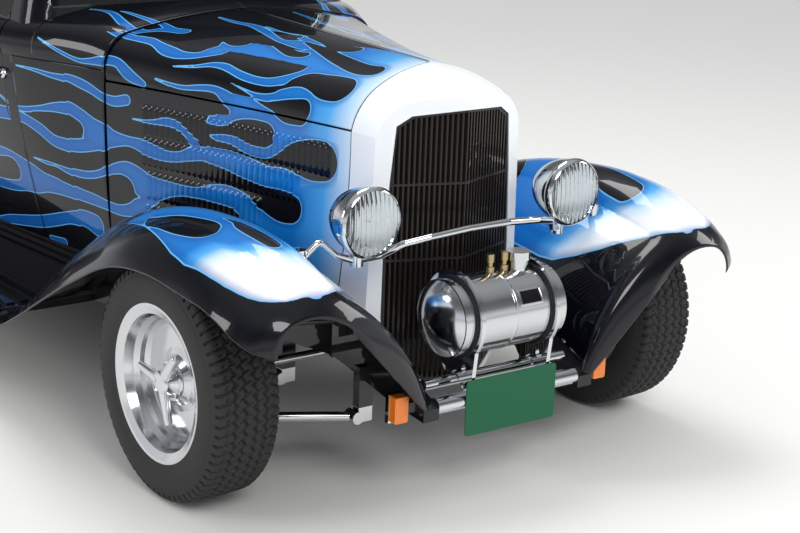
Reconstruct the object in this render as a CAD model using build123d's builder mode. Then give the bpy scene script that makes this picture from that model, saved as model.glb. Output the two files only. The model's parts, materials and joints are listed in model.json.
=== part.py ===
"""Hot rod coupe: a chopped and lowered three-window coupe on a channel frame.

Millimetres. The car stands on its tyres at Z = 0 and faces -Y, with its own left side at +X.
A station is a distance rearward from the front axle, and at() turns it into Y.
"""

from build123d import *
from math import cos, radians, sin, sqrt, tan
import os

os.makedirs("parts", exist_ok=True)

# Overall layout
tank_station = -360.0
ring_radius = 123.0
front_overhang = ring_radius - tank_station
wheelbase = 2692.0
rear_overhang = 585.0
overall_length = front_overhang + wheelbase + rear_overhang
front_axle_y = -overall_length / 2 + front_overhang
rear_axle_y = front_axle_y + wheelbase

# Fits and gaps
seat_gap = 0.3
panel_gap = 5.5
running_clearance = 0.05

# Wheels and tyres
front_tyre_radius = 315.4
front_tyre_width = 199.0
front_wheel_x = 717.0
rear_tyre_radius = 350.0
rear_tyre_width = 235.0
rear_wheel_x = 710.0
rim_lip_radius = 210.0
rim_bead_radius = 190.5
rim_windows = 5
hub_radius = 62.0

# Steering and front suspension
kingpin_x = 640.0
spindle_radius = 16.0
disc_radius = 140.0
steering_arm = 120.0
rack_station = 128.0
rack_height = 262.0

# Frame
rail_width = 50.0
rail_floor_top = 365.0
rail_floor_bottom = 225.0
horn_station = -452.0
tail_horn_station = 3232.0
spreader_station = -430.0
spreader_height = 280.0
spreader_radius = 22.5
tank_bar_station = -380.0
tank_bar_height = 322.0
tank_bar_radius = 15.0
tow_bore_radius = 8.0
tow_bore_station = 3200.0
tow_bore_height = 350.0

# Body shell
body_wall = 34.0
hood_wall = 8.0
body_bottom = 377.5
belt_height = 965.0
hood_seam_height = 930.0
hood_front = -45.0
hood_rear = 868.0
windshield_base = 1130.0
windshield_top = 1200.0
door_front = 1218.0
door_rear = 2080.0
door_bottom = 383.0
door_top = 1352.0
roof_top = 1482.0
roof_crown_radius = 3000.0
eave_radius = 62.0
greenhouse_base = 1040.0
glass_thickness = 6.0

# Fenders and running boards
fender_wall = 7.0
fender_edge_x = 842.0
board_top = 252.0
board_thickness = 26.0
board_front = 985.0
rear_fender_height = 300.0
rear_fender_radius = 490.0

# Auxiliary tank in front of the grille
tank_height = 486.0
tank_radius = 104.0
tank_half_length = 170.0
tank_dome = 35.0
ring_x = 127.0
ring_thickness = 12.0
liner_thickness = 7.0
foot_hole_radius = 12.0

# Lamps and plate
lamp_x = 342.0
lamp_station = -279.0
lamp_height = 744.0
lamp_radius = 94.0
lamp_depth = 165.0
plate_width = 305.0
plate_height = 152.0
plate_thickness = 3.0
plate_centre_height = 263.0


def at(station):
    """Y of a station measured rearward from the front axle."""
    return front_axle_y + station


def across(station):
    """Upright plane across the car: sketch x is the car's X and sketch y is its Z."""
    return Plane.XZ.offset(-at(station))


def save(piece, name):
    """Label a finished piece and write it as its own file."""
    piece.label = name
    export_step(piece, "parts/" + name + ".step")


# Body sections, each seen from the front.
# Columns: station, z_low, x_low, x_belt, z_belt, x_shoulder, z_shoulder, z_crown
body_sections = [
    (868, 377.5, 452, 483, 961, 406, 1067, 1115),
    (1130, 377.5, 490, 588, 965, 545, 1072, 1138),
    (1290, 377.5, 508, 632, 965, 604, 1058, 1130),
    (1650, 377.5, 545, 664, 965, 640, 1054, 1120),
    (2080, 377.5, 556, 664, 965, 632, 1050, 1110),
    (2450, 430.0, 530, 622, 935, 580, 1012, 1062),
    (2750, 492.0, 500, 560, 850, 500, 920, 968),
    (3000, 484.0, 446, 470, 720, 405, 778, 818),
    (3140, 456.0, 400, 412, 575, 350, 615, 640),
]


def body_section(row, inset):
    """Closed body outline: flat floor, bowed side, rounded shoulder and crowned top."""
    _, z_low, x_low, x_belt, z_belt, x_shoulder, z_shoulder, z_crown = row
    low = (x_low - inset, z_low)
    belt = (x_belt - inset, z_belt)
    shoulder = (x_shoulder - inset * 0.7, z_shoulder - inset * 0.7)
    bow = ((low[0] + belt[0]) / 2 + 12, (low[1] + belt[1]) / 2)
    turn = ((belt[0] + shoulder[0]) / 2 + 0.22 * (z_shoulder - z_belt),
            (belt[1] + shoulder[1]) / 2 + 0.18 * (x_belt - x_shoulder))
    crown = z_crown - inset
    top = (shoulder[0] / 2, crown - (crown - shoulder[1]) * 0.27)
    with BuildLine() as outline:
        Line((0, z_low), low)
        ThreePointArc(low, bow, belt)
        ThreePointArc(belt, turn, shoulder)
        ThreePointArc(shoulder, top, (0, crown))
        mirror(about=Plane.YZ)
    return outline.line


def body_solid(inset, start_shift=0.0, end_shift=0.0, open_floor=0.0, trunk_floor=0.0):
    """Loft of the body sections, set in by a wall's thickness."""
    with BuildPart() as solid:
        last = len(body_sections) - 1
        for index, row in enumerate(body_sections):
            shift = start_shift if index == 0 else (end_shift if index == last else 0.0)
            lift = trunk_floor if row[0] > door_rear else -open_floor
            raised = (row[0], row[1] + lift) + tuple(row[2:])
            with BuildSketch(across(row[0] + shift)):
                add(body_section(raised, inset))
                make_face()
        loft()
    return solid.part


# Cabin plan at the base and the eave, as half widths and stations.
# Columns: height, front_station, x_front, x_rear, rear_station, front_corner, rear_corner
cabin_plans = [
    (greenhouse_base, windshield_base, 590, 640, 2500, 84, 300),
    (roof_top, windshield_top + 10, 470, 500, 2190, 84, 230),
]


def cabin_solid(inset):
    """Cabin top: rounded plans lofted upward, rounded at the eave and crowned by a wide dome."""
    with BuildPart() as solid:
        for height, front, x_front, x_rear, rear, front_corner, rear_corner in cabin_plans:
            level = height if height == greenhouse_base else height - inset
            with BuildSketch(Plane.XY.offset(level)) as plan:
                with BuildLine():
                    Polyline(
                        (-(x_front - inset), at(front + inset)),
                        (x_front - inset, at(front + inset)),
                        (x_rear - inset, at(rear - inset)),
                        (-(x_rear - inset), at(rear - inset)),
                        close=True,
                    )
                make_face()
                corners = plan.vertices().group_by(Axis.Y)
                fillet(corners[0], front_corner - inset * 0.6)
                fillet(corners[-1], rear_corner - inset)
        loft(ruled=True)
        fillet(solid.faces().sort_by(Axis.Z)[-1].edges(), eave_radius - inset * 0.7)
        with Locations((0, at(1700), roof_top - inset - roof_crown_radius)):
            Sphere(roof_crown_radius, mode=Mode.INTERSECT)
    return solid.part


tub_outer = body_solid(0)
tub_inner = body_solid(body_wall, start_shift=20, end_shift=-40, open_floor=60, trunk_floor=12)
cabin_outer = cabin_solid(0)
cabin_inner = cabin_solid(body_wall)


def window_opening(gap=0.0):
    """Windscreen opening, seen from the front."""
    with BuildSketch(across(windshield_base - 150)) as opening:
        with BuildLine():
            Polyline(
                (-(532 - gap), 1108 + gap), (532 - gap, 1108 + gap),
                (462 - gap, 1352 - gap), (-(462 - gap), 1352 - gap), close=True,
            )
        make_face()
        fillet(opening.vertices(), 28 - gap)
    return opening.sketch


def side_window(gap=0.0):
    """Door window, seen from the side."""
    with BuildSketch(Plane.YZ) as opening:
        with BuildLine():
            Polyline(
                (at(door_front + 48) + gap, 1068 + gap), (at(door_rear - 48) - gap, 1068 + gap),
                (at(door_rear - 62) - gap, 1308 - gap), (at(door_front + 62) + gap, 1308 - gap),
                close=True,
            )
        make_face()
        fillet(opening.vertices(), 30 - gap)
    return opening.sketch


def rear_window(gap=0.0):
    """Rear window, seen from behind."""
    with BuildSketch(across(2050)) as opening:
        with Locations((0, 1215)):
            RectangleRounded(520 - 2 * gap, 190 - 2 * gap, 60 - gap)
    return opening.sketch


# The whole painted shell, split into its real panels further down
with BuildPart() as shell:
    add(tub_outer)
    add(cabin_outer)
    add(tub_inner, mode=Mode.SUBTRACT)
    add(cabin_inner, mode=Mode.SUBTRACT)
    extrude(window_opening(), amount=-260, mode=Mode.SUBTRACT)
    extrude(side_window(), amount=900, both=True, mode=Mode.SUBTRACT)
    extrude(rear_window(), amount=-600, mode=Mode.SUBTRACT)
    with Locations((0, at(door_rear + 100), 0)):
        Box(1500, 1400, body_bottom, align=(Align.CENTER, Align.MAX, Align.MIN),
            mode=Mode.SUBTRACT)

door_bevel = tan(radians(20)) * 300


def door_plan(gap, side):
    """Plan of a door's opening: its front edge is bevelled so that it swings clear."""
    front = at(door_front) + gap
    rear = at(door_rear) - gap
    with BuildSketch(Plane.XY.offset(door_bottom + gap - panel_gap)) as plan:
        with BuildLine():
            Polyline(
                (side * 720, front), (side * 420, front + door_bevel),
                (side * 420, rear), (side * 720, rear), close=True,
            )
        make_face()
    return plan.sketch


lid_corner = 40.0
lid_front = 2560.0
lid_rear = 3000.0


def lid_plan(gap):
    """Plan of the deck lid."""
    with BuildSketch(Plane.XY.offset(560)) as plan:
        with BuildLine():
            Polyline(
                (-(345 - gap), at(lid_front) + gap), (345 - gap, at(lid_front) + gap),
                (285 - gap, at(lid_rear) - gap), (-(285 - gap), at(lid_rear) - gap), close=True,
            )
        make_face()
        fillet(plan.vertices(), lid_corner - gap)
    return plan.sketch


# Cowl with the firewall, dash top and windscreen posts
with BuildPart() as cowl:
    add(shell.part)
    with BuildSketch(Plane.XY):
        with BuildLine():
            Polyline(
                (-720, at(hood_rear) + panel_gap), (720, at(hood_rear) + panel_gap),
                (720, at(door_front)), (420, at(door_front) + door_bevel),
                (-420, at(door_front) + door_bevel), (-720, at(door_front)), close=True,
            )
        make_face()
    extrude(amount=door_top - seat_gap, mode=Mode.INTERSECT)
save(cowl.part, "cowl")

# Roof panel above the doors
with BuildPart() as roof:
    add(shell.part)
    with Locations((0, at(1800), door_top)):
        Box(1500, 1600, 300, align=(Align.CENTER, Align.CENTER, Align.MIN), mode=Mode.INTERSECT)
save(roof.part, "roof")

# Rear body: quarters, tail and the panel under the rear window
with BuildPart() as rear_body:
    add(shell.part)
    with Locations((0, at(door_rear), 0)):
        Box(1500, 1600, door_top - seat_gap, align=(Align.CENTER, Align.MIN, Align.MIN),
            mode=Mode.INTERSECT)
    extrude(lid_plan(0), amount=600, mode=Mode.SUBTRACT)
save(rear_body.part, "rear_body")

# Deck lid, with hinge eyes that turn on the pins of the body's hinge brackets
lid_hinge_station = 2562.0
lid_hinge_height = 1044.0
lid_hinge_x = 215.0
lid_pin_radius = 4.0
lid_eye_radius = 8.0
with BuildPart() as deck_lid:
    add(shell.part)
    extrude(lid_plan(panel_gap), amount=600, mode=Mode.INTERSECT)
    for side in (1, -1):
        with Locations((side * lid_hinge_x, at(lid_hinge_station) + 4.5, lid_hinge_height)):
            Box(22, 14, lid_eye_radius, align=(Align.CENTER, Align.MIN, Align.CENTER))
        with Locations((side * lid_hinge_x, at(lid_hinge_station) + 9, lid_hinge_height)):
            Box(22, 14, 44, align=(Align.CENTER, Align.MIN, Align.MAX))
        with Locations(Plane.YZ * Location((at(lid_hinge_station), lid_hinge_height,
                                            side * lid_hinge_x))):
            Cylinder(lid_eye_radius, 22)
            Cylinder(lid_pin_radius + running_clearance, 60, mode=Mode.SUBTRACT)
    add(tub_inner, mode=Mode.SUBTRACT)
save(deck_lid.part, "deck_lid")
with BuildPart() as lid_hinges:
    for side in (1, -1):
        with Locations(Plane.YZ * Location((at(lid_hinge_station), lid_hinge_height,
                                            side * lid_hinge_x))):
            Cylinder(lid_pin_radius, 60)
        for shift in (-24, 24):
            with Locations((side * lid_hinge_x + shift, at(lid_hinge_station) - 18, lid_hinge_height)):
                Box(12, 22, 12, align=(Align.CENTER, Align.MIN, Align.CENTER))
                Box(12, 14, 60, align=(Align.CENTER, Align.MIN, Align.MAX))
    add(tub_outer, mode=Mode.SUBTRACT)
save(lid_hinges.part, "lid_hinges")

# Doors with their window frames, and the glass that stands in them
for name, side in (("left", 1), ("right", -1)):
    with BuildPart() as door:
        add(shell.part)
        extrude(door_plan(panel_gap, side), amount=door_top - door_bottom - panel_gap,
                mode=Mode.INTERSECT)
    save(door.part, "door_" + name)
    with BuildPart() as glass:
        add(cabin_outer)
        add(cabin_solid(glass_thickness), mode=Mode.SUBTRACT)
        extrude(side_window(seat_gap), amount=900 * side, mode=Mode.INTERSECT)
    save(glass.part, "door_glass_" + name)

# Windscreen and rear window glass
with BuildPart() as panes:
    extrude(window_opening(seat_gap), amount=-260)
    extrude(rear_window(seat_gap), amount=-600)
with BuildPart() as fixed_glass:
    add(cabin_outer)
    add(cabin_solid(glass_thickness), mode=Mode.SUBTRACT)
    add(panes.part, mode=Mode.INTERSECT)
save(fixed_glass.part, "fixed_glass")

# Frame rails. Columns: station, z_top, z_bottom, x_outer
rail_points = [
    (horn_station, 282, 250, 288),
    (-300, 352, 268, 290),
    (-150, 412, 300, 291),
    (hood_front, 437, 318, 292),
    (400, 405, 300, 352),
    (868, 375.5, 238, 447),
    (1000, rail_floor_top, rail_floor_bottom, 466),
    (2080, rail_floor_top, rail_floor_bottom, 505),
    (2450, 412, 300, 486),
    (2692, 472, 398, 466),
    (2950, 468, 385, 450),
    (tail_horn_station, 384, 318, 436),
]
with BuildPart() as frame_rails:
    with BuildSketch(Plane.YZ) as rail_side:
        with BuildLine():
            Polyline(*[(at(row[0]), row[1]) for row in rail_points],
                     *[(at(row[0]), row[2]) for row in reversed(rail_points)], close=True)
        make_face()
    extrude(amount=600)
    with BuildSketch(Plane.XY.offset(200)) as rail_plan:
        with BuildLine():
            Polyline(*[(row[3], at(row[0])) for row in rail_points],
                     *[(row[3] - rail_width, at(row[0])) for row in reversed(rail_points)],
                     close=True)
        make_face()
    extrude(amount=300, mode=Mode.INTERSECT)
    with Locations(Plane.YZ * Location((at(tow_bore_station), tow_bore_height, 0))):
        Cylinder(tow_bore_radius, 1200, mode=Mode.SUBTRACT)
    mirror(about=Plane.YZ)
save(frame_rails.part, "frame_rails")

hood_crown_front = 1095.0
hood_crown_rear = 1115.0
hood_crown_slope = (hood_crown_rear - hood_crown_front) / (hood_rear - hood_front)


def hood_crown(station):
    """Height of the hood's straight crown line at a station."""
    return hood_crown_front + (station - hood_front) * hood_crown_slope


# Hood sections at the seam between the tops and the louvred sides, seen from the front.
# Columns: station, z_bottom, x_bottom, x_middle, x_seam, x_turn, z_turn, x_shoulder, z_shoulder, z_crown
hood_sections = [
    (hood_front, 434.5, 288, 259, 249, 232, 977, 175, 1038, hood_crown_front),
    (300, 408.0, 335, 326, 320, 303, 985, 240, 1046, hood_crown(300)),
    (hood_rear, 373.0, 456, 472, 479, 466, 1012, 398, 1068, hood_crown_rear),
]
hood_hinge_gap = 3.0


def hood_top_section(row, side):
    """Band outline of one top half, from its seam over the shoulder to the centre hinge."""
    _, _, _, _, x_seam, x_turn, z_turn, x_shoulder, z_shoulder, z_crown = row
    wall = hood_wall
    seam_z = hood_seam_height + panel_gap / 2
    top = (x_shoulder * 0.5, z_crown - (z_crown - z_shoulder) * 0.30)
    points = [
        [(x_seam, seam_z), (x_turn, z_turn), (x_shoulder, z_shoulder), top,
         (hood_hinge_gap, z_crown)],
        [(x_seam - wall, seam_z), (x_turn - wall * 0.9, z_turn - wall * 0.5),
         (x_shoulder - wall * 0.4, z_shoulder - wall * 0.95), (top[0], top[1] - wall),
         (hood_hinge_gap, z_crown - wall)],
    ]
    outer, inner = [[(side * x, z) for x, z in line] for line in points]
    with BuildLine() as outline:
        ThreePointArc(outer[0], outer[1], outer[2])
        ThreePointArc(outer[2], outer[3], outer[4])
        Line(outer[4], inner[4])
        ThreePointArc(inner[4], inner[3], inner[2])
        ThreePointArc(inner[2], inner[1], inner[0])
        Line(inner[0], outer[0])
    return outline.line


def hood_side_section(row, side):
    """Band outline of one side panel, from the frame rail up to the seam."""
    _, z_bottom, x_bottom, x_middle, x_seam = row[:5]
    seam_z = hood_seam_height - panel_gap / 2
    z_middle = (z_bottom + seam_z) / 2
    wall = hood_wall
    with BuildLine() as outline:
        ThreePointArc((side * x_bottom, z_bottom), (side * x_middle, z_middle),
                      (side * x_seam, seam_z))
        Line((side * x_seam, seam_z), (side * (x_seam - wall), seam_z))
        ThreePointArc((side * (x_seam - wall), seam_z), (side * (x_middle - wall), z_middle),
                      (side * (x_bottom - wall), z_bottom))
        Line((side * (x_bottom - wall), z_bottom), (side * x_bottom, z_bottom))
    return outline.line


def hood_panel(section, side):
    """Loft of a hood panel between the radiator shell and the cowl."""
    with BuildPart() as panel:
        for row in hood_sections:
            with BuildSketch(across(row[0])):
                add(section(row, side))
                make_face()
        loft()
    return panel.part


for name, side in (("left", 1), ("right", -1)):
    with BuildPart() as hood_half:
        add(hood_panel(hood_top_section, side))
    save(hood_half.part, "hood_" + name)

# Hinge rod that both hood tops turn on, seated between the radiator shell and the cowl
hinge_rod_lift = 1.0
hinge_rod_radius = sqrt(hood_hinge_gap**2 + hinge_rod_lift**2) - running_clearance
with BuildPart() as hood_hinge:
    rod_ends = [(0, at(station), hood_crown(station) + hinge_rod_lift)
                for station in (hood_front - panel_gap - 10, hood_rear + panel_gap + 10)]
    with BuildLine() as rod_line:
        Line(*rod_ends)
    with BuildSketch(Plane(origin=rod_line.line @ 0, z_dir=rod_line.line % 0)):
        Circle(hinge_rod_radius)
    sweep(path=rod_line.line)
    with Locations((0, at((hood_front + hood_rear) / 2), 1100)):
        Box(60, hood_rear - hood_front + 2 * (panel_gap - seat_gap), 100, mode=Mode.INTERSECT)
save(hood_hinge.part, "hood_hinge")

# Louvres pressed in each hood side. Columns: top height, front station, number of louvres
louvre_rows = [(882, 22, 33), (789, 132, 28), (690, 267, 21), (592, 380, 16)]
louvre_pitch = 21.4
louvre_height = 88.0
louvre_length = 17.0
louvre_rise = 6.5
louvre_root = 3.0


def parabola(values, places, place):
    """Value at a place on the parabola through three known values."""
    a, b, c = places
    return (values[0] * (place - b) * (place - c) / ((a - b) * (a - c))
            + values[1] * (place - a) * (place - c) / ((b - a) * (b - c))
            + values[2] * (place - a) * (place - b) / ((c - a) * (c - b)))


def hood_side_x(station, height):
    """Half width of the hood side at a station and a height."""
    seam_z = hood_seam_height - panel_gap / 2
    widths = [parabola(row[2:5], (row[1], (row[1] + seam_z) / 2, seam_z), height)
              for row in hood_sections]
    return parabola(widths, [row[0] for row in hood_sections], station)


def louvre(side, station, top):
    """One louvre: a wedge that leans with the panel and opens towards the rear."""
    low = top - louvre_height
    rear = station + louvre_length
    x_front = hood_side_x(station, low)
    x_rear = hood_side_x(rear, low)
    lean = hood_side_x(station, top) - x_front
    with BuildSketch(Plane.XY.offset(low), mode=Mode.PRIVATE) as plan:
        with BuildLine():
            Polyline((side * (x_front - louvre_root), at(station)), (side * x_front, at(station)),
                     (side * (x_rear + louvre_rise), at(rear)),
                     (side * (x_rear - louvre_root), at(rear)), close=True)
        make_face()
    return extrude(plan.sketch, amount=sqrt(lean**2 + louvre_height**2),
                   dir=(side * lean, 0, louvre_height), mode=Mode.PRIVATE)


louvres = [louvre(side, front + louvre_pitch * index, top)
           for side in (1, -1) for top, front, count in louvre_rows for index in range(count)]
with BuildPart() as hood_sides:
    for side in (1, -1):
        add(hood_panel(hood_side_section, side))
    add(louvres)
    add(frame_rails.part, mode=Mode.SUBTRACT)
save(hood_sides.part, "hood_sides")

# Radiator shell: sections from its rear edge to its nose, then cut to the vee of the grille.
# Columns: station, z_bottom, x_bottom, x_middle, x_side, x_turn, z_turn, x_shoulder, z_shoulder, z_crown
shell_sections = [
    (hood_front - panel_gap, 424, 289, 259, 250, 232, 977, 175, 1038, 1095),
    (-118, 424, 264, 254, 248, 231, 972, 172, 1033, 1087),
    (-245, 424, 228, 212, 206, 192, 945, 140, 985, 1002),
]
vee_centre = -232.0
vee_corner = -148.0
vee_half_width = 240.0
grille_depth = 14.0
grille_top = 997.0
grille_foot = 256.0

# Half outline of the grille opening: X and Z from the top centre down to the foot.
grille_outline = [(0, grille_top), (150, 984), (190, 958), (203, 806), (214, 600), (215, 440),
                  (206, 345), (142, 287), (100, grille_foot)]


def grille_face(inset=0.0):
    """Face of the grille opening, set in on all sides."""
    with BuildSketch(across(-60)) as face:
        with BuildLine():
            right = [(max(x - inset, 0), z - inset if z > 500 else z + inset * (z < 300))
                     for x, z in grille_outline]
            Polyline(*right, (0, right[-1][1]))
            mirror(about=Plane.YZ)
        make_face()
    return face.sketch


def vee_prism(shift, low, high):
    """Solid behind the vee of the grille, moved rearward by a shift."""
    with BuildPart() as prism:
        with BuildSketch(Plane.XY.offset(low)):
            with BuildLine():
                slope = (vee_corner - vee_centre) / vee_half_width
                edge = 300
                Polyline(
                    (0, at(vee_centre) + shift), (edge, at(vee_centre + slope * edge) + shift),
                    (edge, at(0)), (-edge, at(0)),
                    (-edge, at(vee_centre + slope * edge) + shift), close=True,
                )
            make_face()
        extrude(amount=high - low)
    return prism.part


with BuildPart() as radiator_shell:
    for row in shell_sections:
        station, z_bottom, x_bottom, x_middle, x_side, x_turn, z_turn, x_sh, z_sh, z_crown = row
        with BuildSketch(across(station)):
            with BuildLine():
                Line((0, z_bottom), (x_bottom, z_bottom))
                ThreePointArc((x_bottom, z_bottom), (x_middle, (z_bottom + belt_height) / 2 - 20),
                              (x_side, hood_seam_height))
                ThreePointArc((x_side, hood_seam_height), (x_turn, z_turn), (x_sh, z_sh))
                ThreePointArc((x_sh, z_sh), (x_sh * 0.5, z_crown - (z_crown - z_sh) * 0.30),
                              (0, z_crown))
                mirror(about=Plane.YZ)
            make_face()
    loft()
    # lower throat of the shell between the frame horns
    with BuildSketch(Plane.XZ.offset(-at(-150))):
        with BuildLine():
            Polyline((0, 242), (112, 242), (158, 282), (226, 345), (226, 450), (0, 450))
            mirror(about=Plane.YZ)
        make_face()
    extrude(amount=90)
    add(vee_prism(0, 200, 1200), mode=Mode.INTERSECT)
    extrude(grille_face(), amount=250, both=True, mode=Mode.SUBTRACT)
    add(frame_rails.part, mode=Mode.SUBTRACT)
save(radiator_shell.part, "radiator_shell")

# Grille insert: a frame, upright bars and two cross rods, all to the same vee
bar_pitch = 13.7
bar_width = 5.0
bars_each_side = 15
rod_heights = (800, 595)
with BuildPart() as grille_band:
    add(vee_prism(4, 200, 1200))
    add(vee_prism(4 + grille_depth, 190, 1210), mode=Mode.SUBTRACT)
    extrude(grille_face(seat_gap), amount=250, both=True, mode=Mode.INTERSECT)
with BuildPart() as grille:
    extrude(grille_face(seat_gap), amount=250, both=True)
    extrude(grille_face(7), amount=260, both=True, mode=Mode.SUBTRACT)
    for index in range(-bars_each_side, bars_each_side + 1):
        with Locations((index * bar_pitch, at(-190), 620)):
            Box(bar_width, 180, 900)
    for height in rod_heights:
        with Locations((0, at(-190), height)):
            Box(440, 180, 6)
    add(grille_band.part, mode=Mode.INTERSECT)
save(grille.part, "grille")

# Radiator core behind the grille
with BuildPart() as radiator:
    extrude(grille_face(seat_gap), amount=250, both=True)
    with Locations((0, at(-104), 690)):
        Box(460, 56, 500, mode=Mode.INTERSECT)
save(radiator.part, "radiator")

# Crossmembers, with the steering rack's housing on the front one
rack_radius = 12.0
with BuildPart() as crossmembers:
    with Locations((0, at(0), 362)):
        Box(2 * 260, 120, 76)
    with Locations((0, at(78), 298)):
        Box(240, 106, 60)
    with Locations((0, at(1000), 290)):
        Box(2 * 430, 70, 100)
    with Locations((0, at(2950), 425)):
        Box(2 * 410, 60, 60)
    with Locations(Plane.YZ * Location((at(rack_station), rack_height, 0))):
        Cylinder(22, 340)
        Cylinder(rack_radius + running_clearance, 400, mode=Mode.SUBTRACT)
    add(frame_rails.part, mode=Mode.SUBTRACT)
save(crossmembers.part, "crossmembers")

# Chrome spreader bars: the front pair between the horns, and the rear one
with BuildPart() as spreader_bars:
    for station, height, radius, half in (
        (spreader_station, spreader_height, spreader_radius, 238 - seat_gap),
        (tank_bar_station, tank_bar_height, tank_bar_radius, 238.5 - seat_gap),
        (tail_horn_station - 18, 352, 20, 386 - seat_gap),
    ):
        with Locations(Plane.YZ * Location((at(station), height, 0))):
            Cylinder(radius, 2 * half)
save(spreader_bars.part, "spreader_bars")

# Engine: one plain block between the rails
with BuildPart() as engine_block:
    with Locations((0, at(450), 610)):
        Box(470, 620, 440)
    chamfer(engine_block.edges().filter_by(Axis.Y).group_by(Axis.Z)[-1], 120)
    chamfer(engine_block.edges().filter_by(Axis.Y).group_by(Axis.Z)[0], 60)
    with Locations((0, at(450), 400)):
        Box(220, 560, 100)
    with Locations((0, at(120), 620)):
        Cylinder(110, 60, rotation=(90, 0, 0))
    with Locations((0, at(250), 375)):
        Box(2 * 300, 50, 30)
    add(frame_rails.part, mode=Mode.SUBTRACT)
save(engine_block.part, "engine_block")

# Front fender sections, each seen from the front.
# Columns: station, then X and Z of the lip, side, crown, ridge, inner slope and inner edge.
fender_sections = [
    (-482, 756, 512, 742, 560, 696, 592, 628, 592, 574, 572, 520, 524),
    (-455, 800, 524, 776, 578, 704, 618, 620, 628, 530, 600, 291, 286),
    (-410, 826, 545, 784, 610, 700, 651, 614, 664, 530, 623, 292, 305),
    (-333, 840, 582, 790, 645, 700, 693, 612, 705, 530, 643, 293, 342),
    (-166, 842, 606, 794, 676, 700, 726, 612, 741, 530, 668, 294, 416),
    (4, 842, 614, 794, 674, 700, 721, 612, 740, 530, 684, 296, 445),
    (181, 842, 588, 794, 648, 700, 697, 612, 720, 530, 678, 326, 438),
    (400, 842, 490, 790, 562, 700, 625, 612, 656, 530, 643, 362, 424),
    (592, 842, 385, 786, 452, 700, 520, 612, 566, 530, 596, 404, 412),
    (740, 842, 300, 782, 350, 700, 408, 612, 452, 530, 488, 436, 400),
    (868, 842, 238, 782, 266, 700, 296, 612, 322, 530, 346, 456, 352),
    (board_front, 842, 219, 782, 240, 700, 250, 612, 253, 530, 258, 472, 262),
]


def fender_section(row, drop, side):
    """Closed fender outline above the lip's chord; with a drop it is the hollow beneath."""
    x = [side * value for value in row[1::2]]
    z = [value - drop for value in row[2::2]]
    if drop:
        x[0] -= side * drop
        x[1] -= side * drop * 0.5
        z[0] = row[2]
        x[5] -= side * 25
    fall = z[4] - z[5]
    bend = ((x[4] + x[5]) / 2 + side * fall * -0.10, (z[4] + z[5]) / 2 + abs(x[4] - x[5]) * 0.10)
    with BuildLine() as outline:
        ThreePointArc((x[0], z[0]), (x[1], z[1]), (x[2], z[2]))
        ThreePointArc((x[2], z[2]), (x[3], z[3]), (x[4], z[4]))
        ThreePointArc((x[4], z[4]), bend, (x[5], z[5]))
        if drop:
            Polyline((x[5], z[5]), (x[5], z[5] - 60), (x[0], z[0] - 60), (x[0], z[0]))
        else:
            Line((x[5], z[5]), (x[0], z[0]))
    return outline.line


def fender_solid(drop, side):
    """Loft of the fender sections."""
    last = len(fender_sections) - 1
    with BuildPart() as solid:
        for index, row in enumerate(fender_sections):
            shift = drop if index == 0 else (1.0 if drop and index == last else 0.0)
            with BuildSketch(across(row[0] + shift)):
                add(fender_section(row, drop, side))
                make_face()
        loft(ruled=True)
    return solid.part


with BuildPart() as front_fenders:
    for side in (1, -1):
        add(fender_solid(0, side))
    for side in (1, -1):
        add(fender_solid(fender_wall, side), mode=Mode.SUBTRACT)
save(front_fenders.part, "front_fenders")

# Rear fenders: a crowned band turned about a line above the axle, trimmed to the body
rear_fender_front_arc = 96.0
rear_fender_rear_arc = 100.0


def rear_fender_plane():
    """Plane through the fender's turning line at its rear foot."""
    foot = radians(rear_fender_rear_arc)
    return Plane(origin=(0, at(wheelbase), rear_fender_height), x_dir=(1, 0, 0),
                 z_dir=(0, cos(foot), -sin(foot)))


with BuildPart() as rear_fenders:
    with BuildSketch(rear_fender_plane()):
        with BuildLine():
            crown = -rear_fender_radius
            wall = fender_wall
            ThreePointArc((430, crown + 6), (620, crown), (742, crown + 22))
            ThreePointArc((742, crown + 22), (812, crown + 52), (fender_edge_x, crown + 104))
            Line((fender_edge_x, crown + 104), (fender_edge_x - wall, crown + 106))
            ThreePointArc((fender_edge_x - wall, crown + 106), (806, crown + 58),
                          (740, crown + 22 + wall))
            ThreePointArc((740, crown + 22 + wall), (620, crown + wall), (430, crown + 6 + wall))
            Line((430, crown + 6 + wall), (430, crown + 6))
        make_face()
    revolve(axis=Axis((0, at(wheelbase), rear_fender_height), (1, 0, 0)),
            revolution_arc=rear_fender_front_arc + rear_fender_rear_arc)
    mirror(about=Plane.YZ)
    add(tub_outer, mode=Mode.SUBTRACT)
    with Locations((0, at(wheelbase), 0)):
        Box(2 * 508, 700, 492, align=(Align.CENTER, Align.MAX, Align.MIN), mode=Mode.SUBTRACT)
        Box(2 * 470, 700, 470, align=(Align.CENTER, Align.MIN, Align.MIN), mode=Mode.SUBTRACT)
save(rear_fenders.part, "rear_fenders")

# Running boards: ribbed treads between the fenders, beside the frame rails
board_rear = wheelbase - sqrt(rear_fender_radius**2 - (rear_fender_height - board_top) ** 2) - 2
with BuildPart() as running_boards:
    with BuildSketch(Plane.XY.offset(board_top - board_thickness)):
        with BuildLine():
            Polyline((460, at(board_front) + seat_gap), (fender_edge_x, at(board_front) + seat_gap),
                     (fender_edge_x, at(board_rear)), (498, at(board_rear)), close=True)
        make_face()
    extrude(amount=board_thickness - 5)
    with BuildSketch(Plane.XY.offset(board_top - 5)):
        with Locations(*[(590 + 45 * index, at((board_front + board_rear) / 2))
                         for index in range(6)]):
            Rectangle(28, board_rear - board_front - 60)
    extrude(amount=5)
    mirror(about=Plane.YZ)
    add(frame_rails.part, mode=Mode.SUBTRACT)
save(running_boards.part, "running_boards")

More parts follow.
